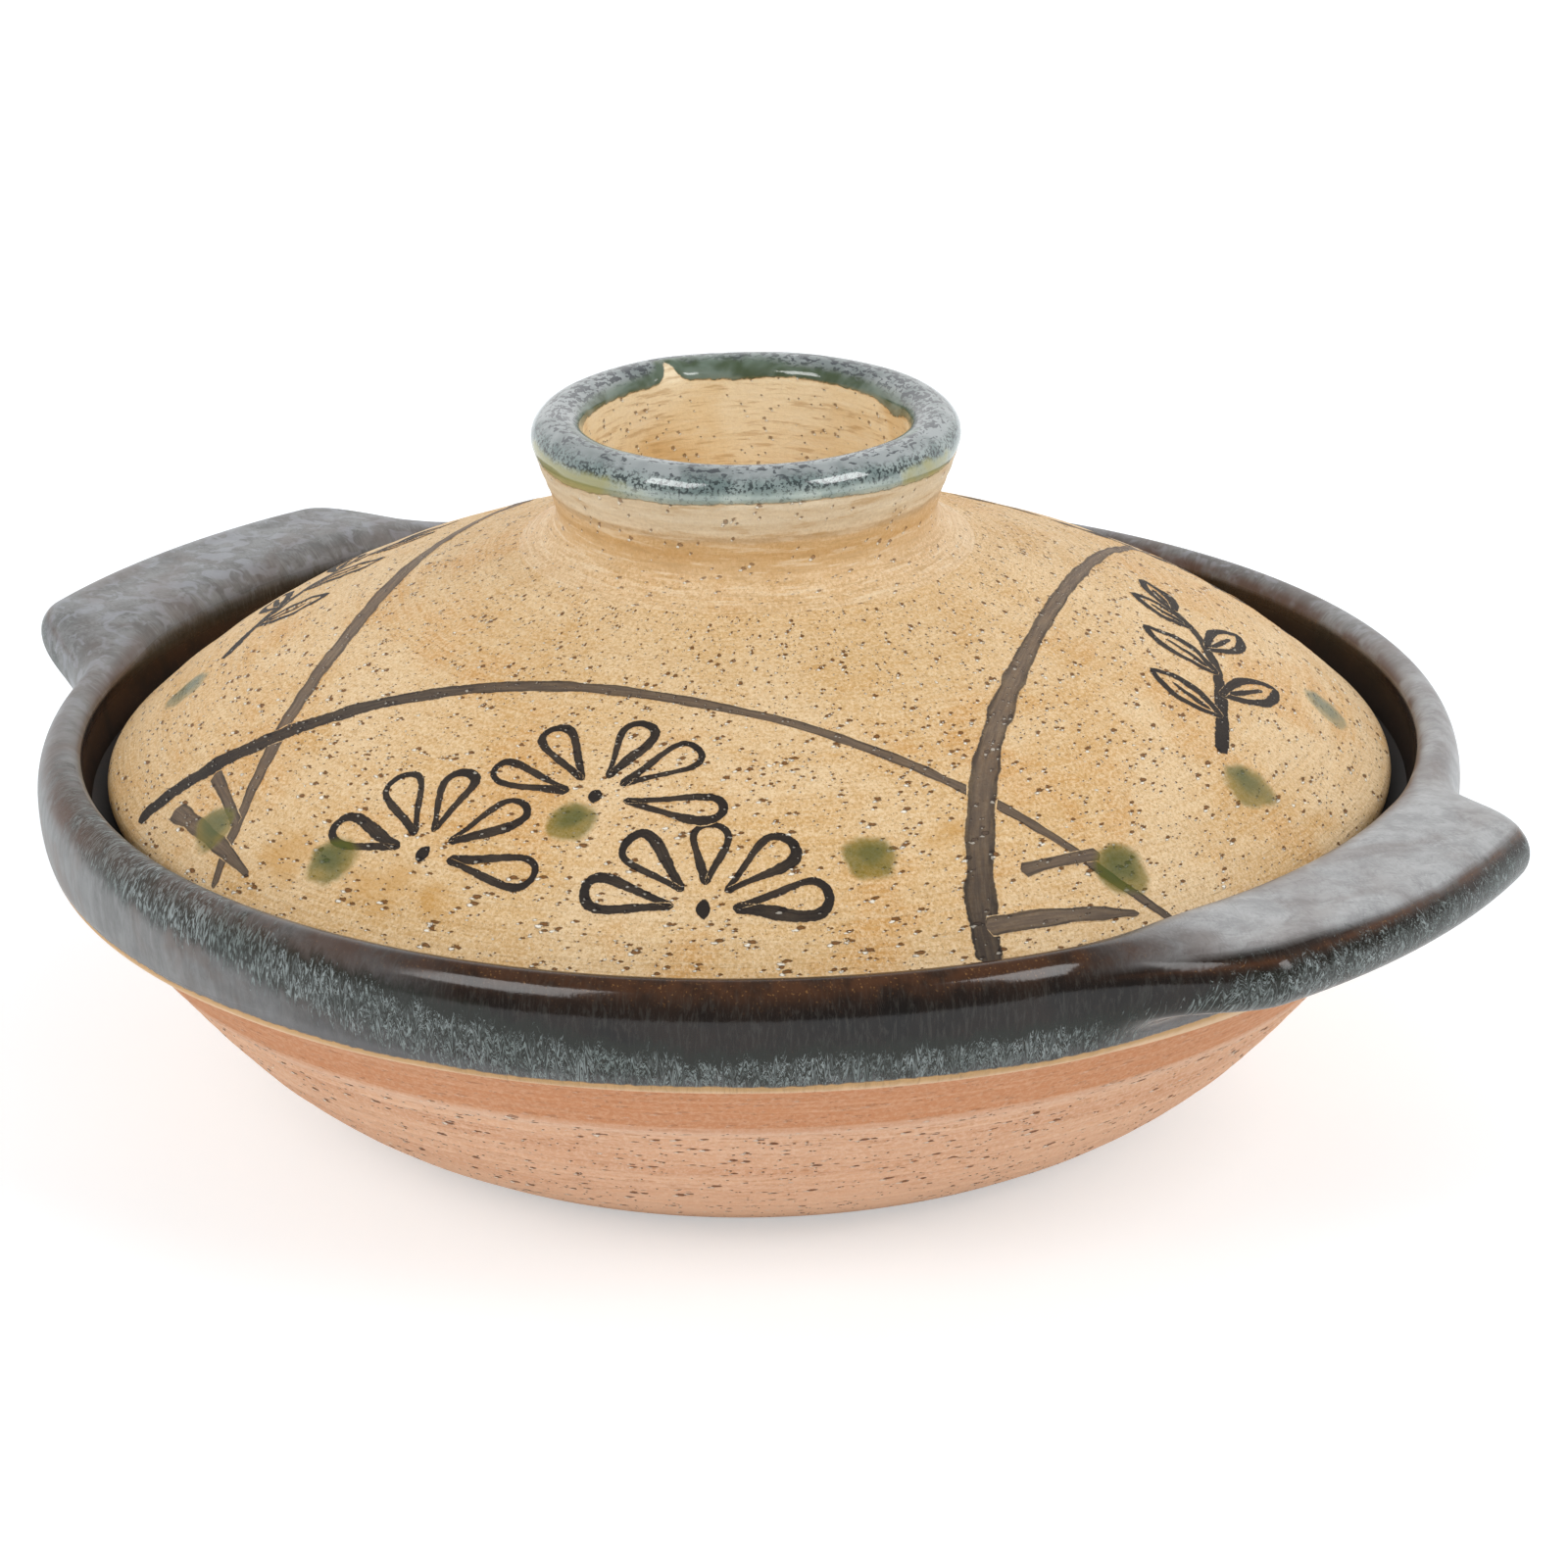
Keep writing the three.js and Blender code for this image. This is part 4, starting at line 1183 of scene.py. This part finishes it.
for middle_turn, points, width, wet in (
    (-158.0, LEFT_ARCH, LEFT_WIDTHS, LEFT_WET),
    *((-66.0 + turned, LONG_ARCH, LONG_WIDTHS, LONG_WET) for turned in BOTH_SIDES),
    (24.0, [(r, -off) for r, off in RIGHT_HALF[::-1]] + list(RIGHT_HALF), RIGHT_WIDTHS, RIGHT_WET),
):
    paint(smooth(plan([(r, middle_turn + off) for r, off in points]), 120), width, wet)
# Two short strokes between the feet of neighbouring arches
RUNGS = (
    ((86.0, -115.8), (89.2, -106.4), (92.2, -116.2), (93.7, -100.2)),
    ((85.9, -23.8), (86.1, -15.1), (92.0, -29.2), (94.2, -14.6)),
    ((86.0, 64.2), (88.6, 73.0), (92.2, 63.4), (93.8, 79.0)),
    ((86.0, 155.2), (88.4, 164.0), (92.2, 152.4), (93.9, 167.6)),
)
for upper_start, upper_end, lower_start, lower_end in RUNGS:
    paint(plan([upper_start, upper_end]), (1.9, 1.8, 1.6), (0.65, 0.60, 0.60))
    paint(plan([lower_start, lower_end]), (2.5, 2.4, 2.0, 0.8), (0.60, 0.55, 0.60, 0.70))
# Flowers: middle, directions and lengths of the petals
for turned in BOTH_SIDES:
    flower((84.6, -83.2 + turned), (178, 135, 96, 46, 0), (17.5, 17.4, 16.8, 17.2, 18.7), 0)
    flower((71.9, -67.7 + turned), (171, 130, 79, 43, -4), (17.8, 18.3, 18.1, 18.3, 19.3), 1)
    flower((87.5, -54.4 + turned), (173, 136, 88, 43, 6), (17.9, 17.2, 15.2, 17.4, 18.3), 2)
spray((72.0, 24.0), 1)
spray((72.0, -158.0), -1)

brush = make_object("lid_brushwork", np.vstack(stroke_points), stroke_faces, STROKE_SHARP)
corner_points = np.zeros(len(brush.data.loops), np.int32)
brush.data.loops.foreach_get("vertex_index", corner_points)
corner_uv = np.vstack(stroke_uv)[corner_points]
brush.data.uv_layers.new(name="Stroke").data.foreach_set("uv", corner_uv.reshape(-1))
wetness = np.concatenate(stroke_wet).astype(np.float32)
brush.data.attributes.new("wet", "FLOAT", "POINT").data.foreach_set("value", wetness)
brush.data.materials.append(brush_material())
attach(brush, "lid")

# Floor and world: plain light on the pot, white to the camera. Reflections see the white behind the pot
# and a dim room elsewhere.

CAMERA_AZIMUTH = 40.0
AIM_Z = 0.05
azimuth = math.radians(CAMERA_AZIMUTH)
level_forward = Vector((-math.sin(azimuth), math.cos(azimuth), 0))
BACKDROP_SIDE = (0.0, 0.5)  # the white backdrop fades in over this share of the way behind the pot
BACKDROP_TOP = (0.50, 0.85)  # and out over this share of the way up
WORLD_LIGHT = 0.40
ROOM_LIGHT = 0.25
FLOOR_HALF = 4.0
FLOOR_WHITE = (0.92, 0.92, 0.92)
# The camera sees this share of the light on the floor, over an even white
FLOOR_SEEN = (0.63, 0.665, 0.69)
FLOOR_GLOW = 0.46
FLOOR_FADE = (0.5, 1.6)  # the floor turns plain white between these distances
corners = [(-1, -1), (1, -1), (1, 1), (-1, 1)]
floor_mesh = bpy.data.meshes.new("floor")
floor_mesh.from_pydata([(x * FLOOR_HALF, y * FLOOR_HALF, 0) for x, y in corners], [], [(0, 1, 2, 3)])
floor = bpy.data.objects.new("floor", floor_mesh)
bpy.context.scene.collection.objects.link(floor)
ground = Graph("floor")
camera_ray, mirrored_ray = ground.rays()
seen = ground.most(camera_ray, mirrored_ray)
far_off = ground.remap(ground.vector("LENGTH", ground.place()), *FLOOR_FADE)
far_off = ground.times(far_off, camera_ray)
albedo = ground.mix(seen, FLOOR_WHITE, ground.mix(far_off, FLOOR_SEEN, (0.0, 0.0, 0.0)))
glow = ground.times(seen, ground.blend(far_off, FLOOR_GLOW, 1.0))
ground.set(Base_Color=albedo, Roughness=0.9, Specular_IOR_Level=0.0)
ground.set(Emission_Color=(1.0, 1.0, 1.0), Emission_Strength=glow)
floor_mesh.materials.append(ground.material)

world = bpy.data.worlds.new("studio")
bpy.context.scene.world = world
studio = Studio(world)
direction = studio.node("TexCoord").outputs["Generated"]
behind = studio.vector("DOT_PRODUCT", direction, tuple(level_forward))
low_down = studio.remap(studio.split(direction)[2], *BACKDROP_TOP, 1.0, 0.0)
backdrop = studio.times(studio.remap(behind, *BACKDROP_SIDE), low_down)
camera_ray, mirrored_ray = studio.rays()
strength = studio.blend(mirrored_ray, WORLD_LIGHT, studio.blend(backdrop, ROOM_LIGHT, 1.0))
background = studio.tree.nodes["Background"]
background.inputs["Color"].default_value = (1.0, 1.0, 1.0, 1.0)
studio.feed(background.inputs["Strength"], studio.blend(camera_ray, strength, 1.0))


def softbox(name, aside, elevation, distance, size, power, mirrored=True):
    """A square area lamp that looks at the pot, at a turn aside from the camera. Where mirrored is false,
    reflections don't show it."""
    lamp = bpy.data.lights.new(name, "AREA")
    lamp.shape = "SQUARE"
    lamp.size = size
    lamp.energy = power
    thing = bpy.data.objects.new(name, lamp)
    a, e = math.radians(CAMERA_AZIMUTH + aside), math.radians(elevation)
    way = Vector((math.sin(a) * math.cos(e), -math.cos(a) * math.cos(e), math.sin(e)))
    thing.location = way * distance + Vector((0, 0, AIM_Z))
    thing.rotation_euler = way.to_track_quat("Z", "Y").to_euler()
    thing.visible_glossy = mirrored
    bpy.context.scene.collection.objects.link(thing)


softbox("key", 56, 38, 1.7, 0.70, 9.0)
softbox("fill", -43, 38, 1.7, 0.70, 8.0)
softbox("front", 6, 24, 1.8, 1.2, 3.0, mirrored=False)
softbox("left", -105, 27, 1.6, 1.3, 7.0, mirrored=False)
softbox("right", 110, 27, 1.6, 1.3, 7.0, mirrored=False)
softbox("back", 180, 30, 1.5, 1.4, 8.4, mirrored=False)

# The photograph is 1600 pixels square. The pot's axis at the aim height falls on this pixel.
FRAME_PIXELS = 1600
FOCAL_PIXELS = 5994.0
AXIS_PIXEL = (764.8, 770.0)
SENSOR_MM = 36.0
CAMERA_ELEVATION = 20.76
CAMERA_DISTANCE = 0.9
CAMERA_ROLL = -0.64

elevation = math.radians(CAMERA_ELEVATION)
roll = math.radians(CAMERA_ROLL)
right = Vector((math.cos(azimuth), math.sin(azimuth), 0))
forward = level_forward * math.cos(elevation) - Vector((0, 0, math.sin(elevation)))
up = right.cross(forward)
turned_right = math.cos(roll) * right + math.sin(roll) * up
turned_up = math.cos(roll) * up - math.sin(roll) * right
eye = Vector((0, 0, AIM_Z)) - CAMERA_DISTANCE * forward
aside = (FRAME_PIXELS / 2 - AXIS_PIXEL[0]) / FOCAL_PIXELS
below = (FRAME_PIXELS / 2 - AXIS_PIXEL[1]) / FOCAL_PIXELS
aim = (forward + turned_right * aside - turned_up * below).normalized()
side = (turned_right - aim * turned_right.dot(aim)).normalized()
upright = side.cross(aim)
camera_data = bpy.data.cameras.new("camera")
camera_data.sensor_width = SENSOR_MM
camera_data.lens = SENSOR_MM * FOCAL_PIXELS / FRAME_PIXELS
camera_data.clip_start = 0.01
camera = bpy.data.objects.new("camera", camera_data)
camera.matrix_world = Matrix.Translation(eye) @ Matrix((side, upright, -aim)).transposed().to_4x4()
bpy.context.scene.collection.objects.link(camera)
bpy.context.scene.camera = camera
bpy.context.scene.view_settings.view_transform = "Standard"
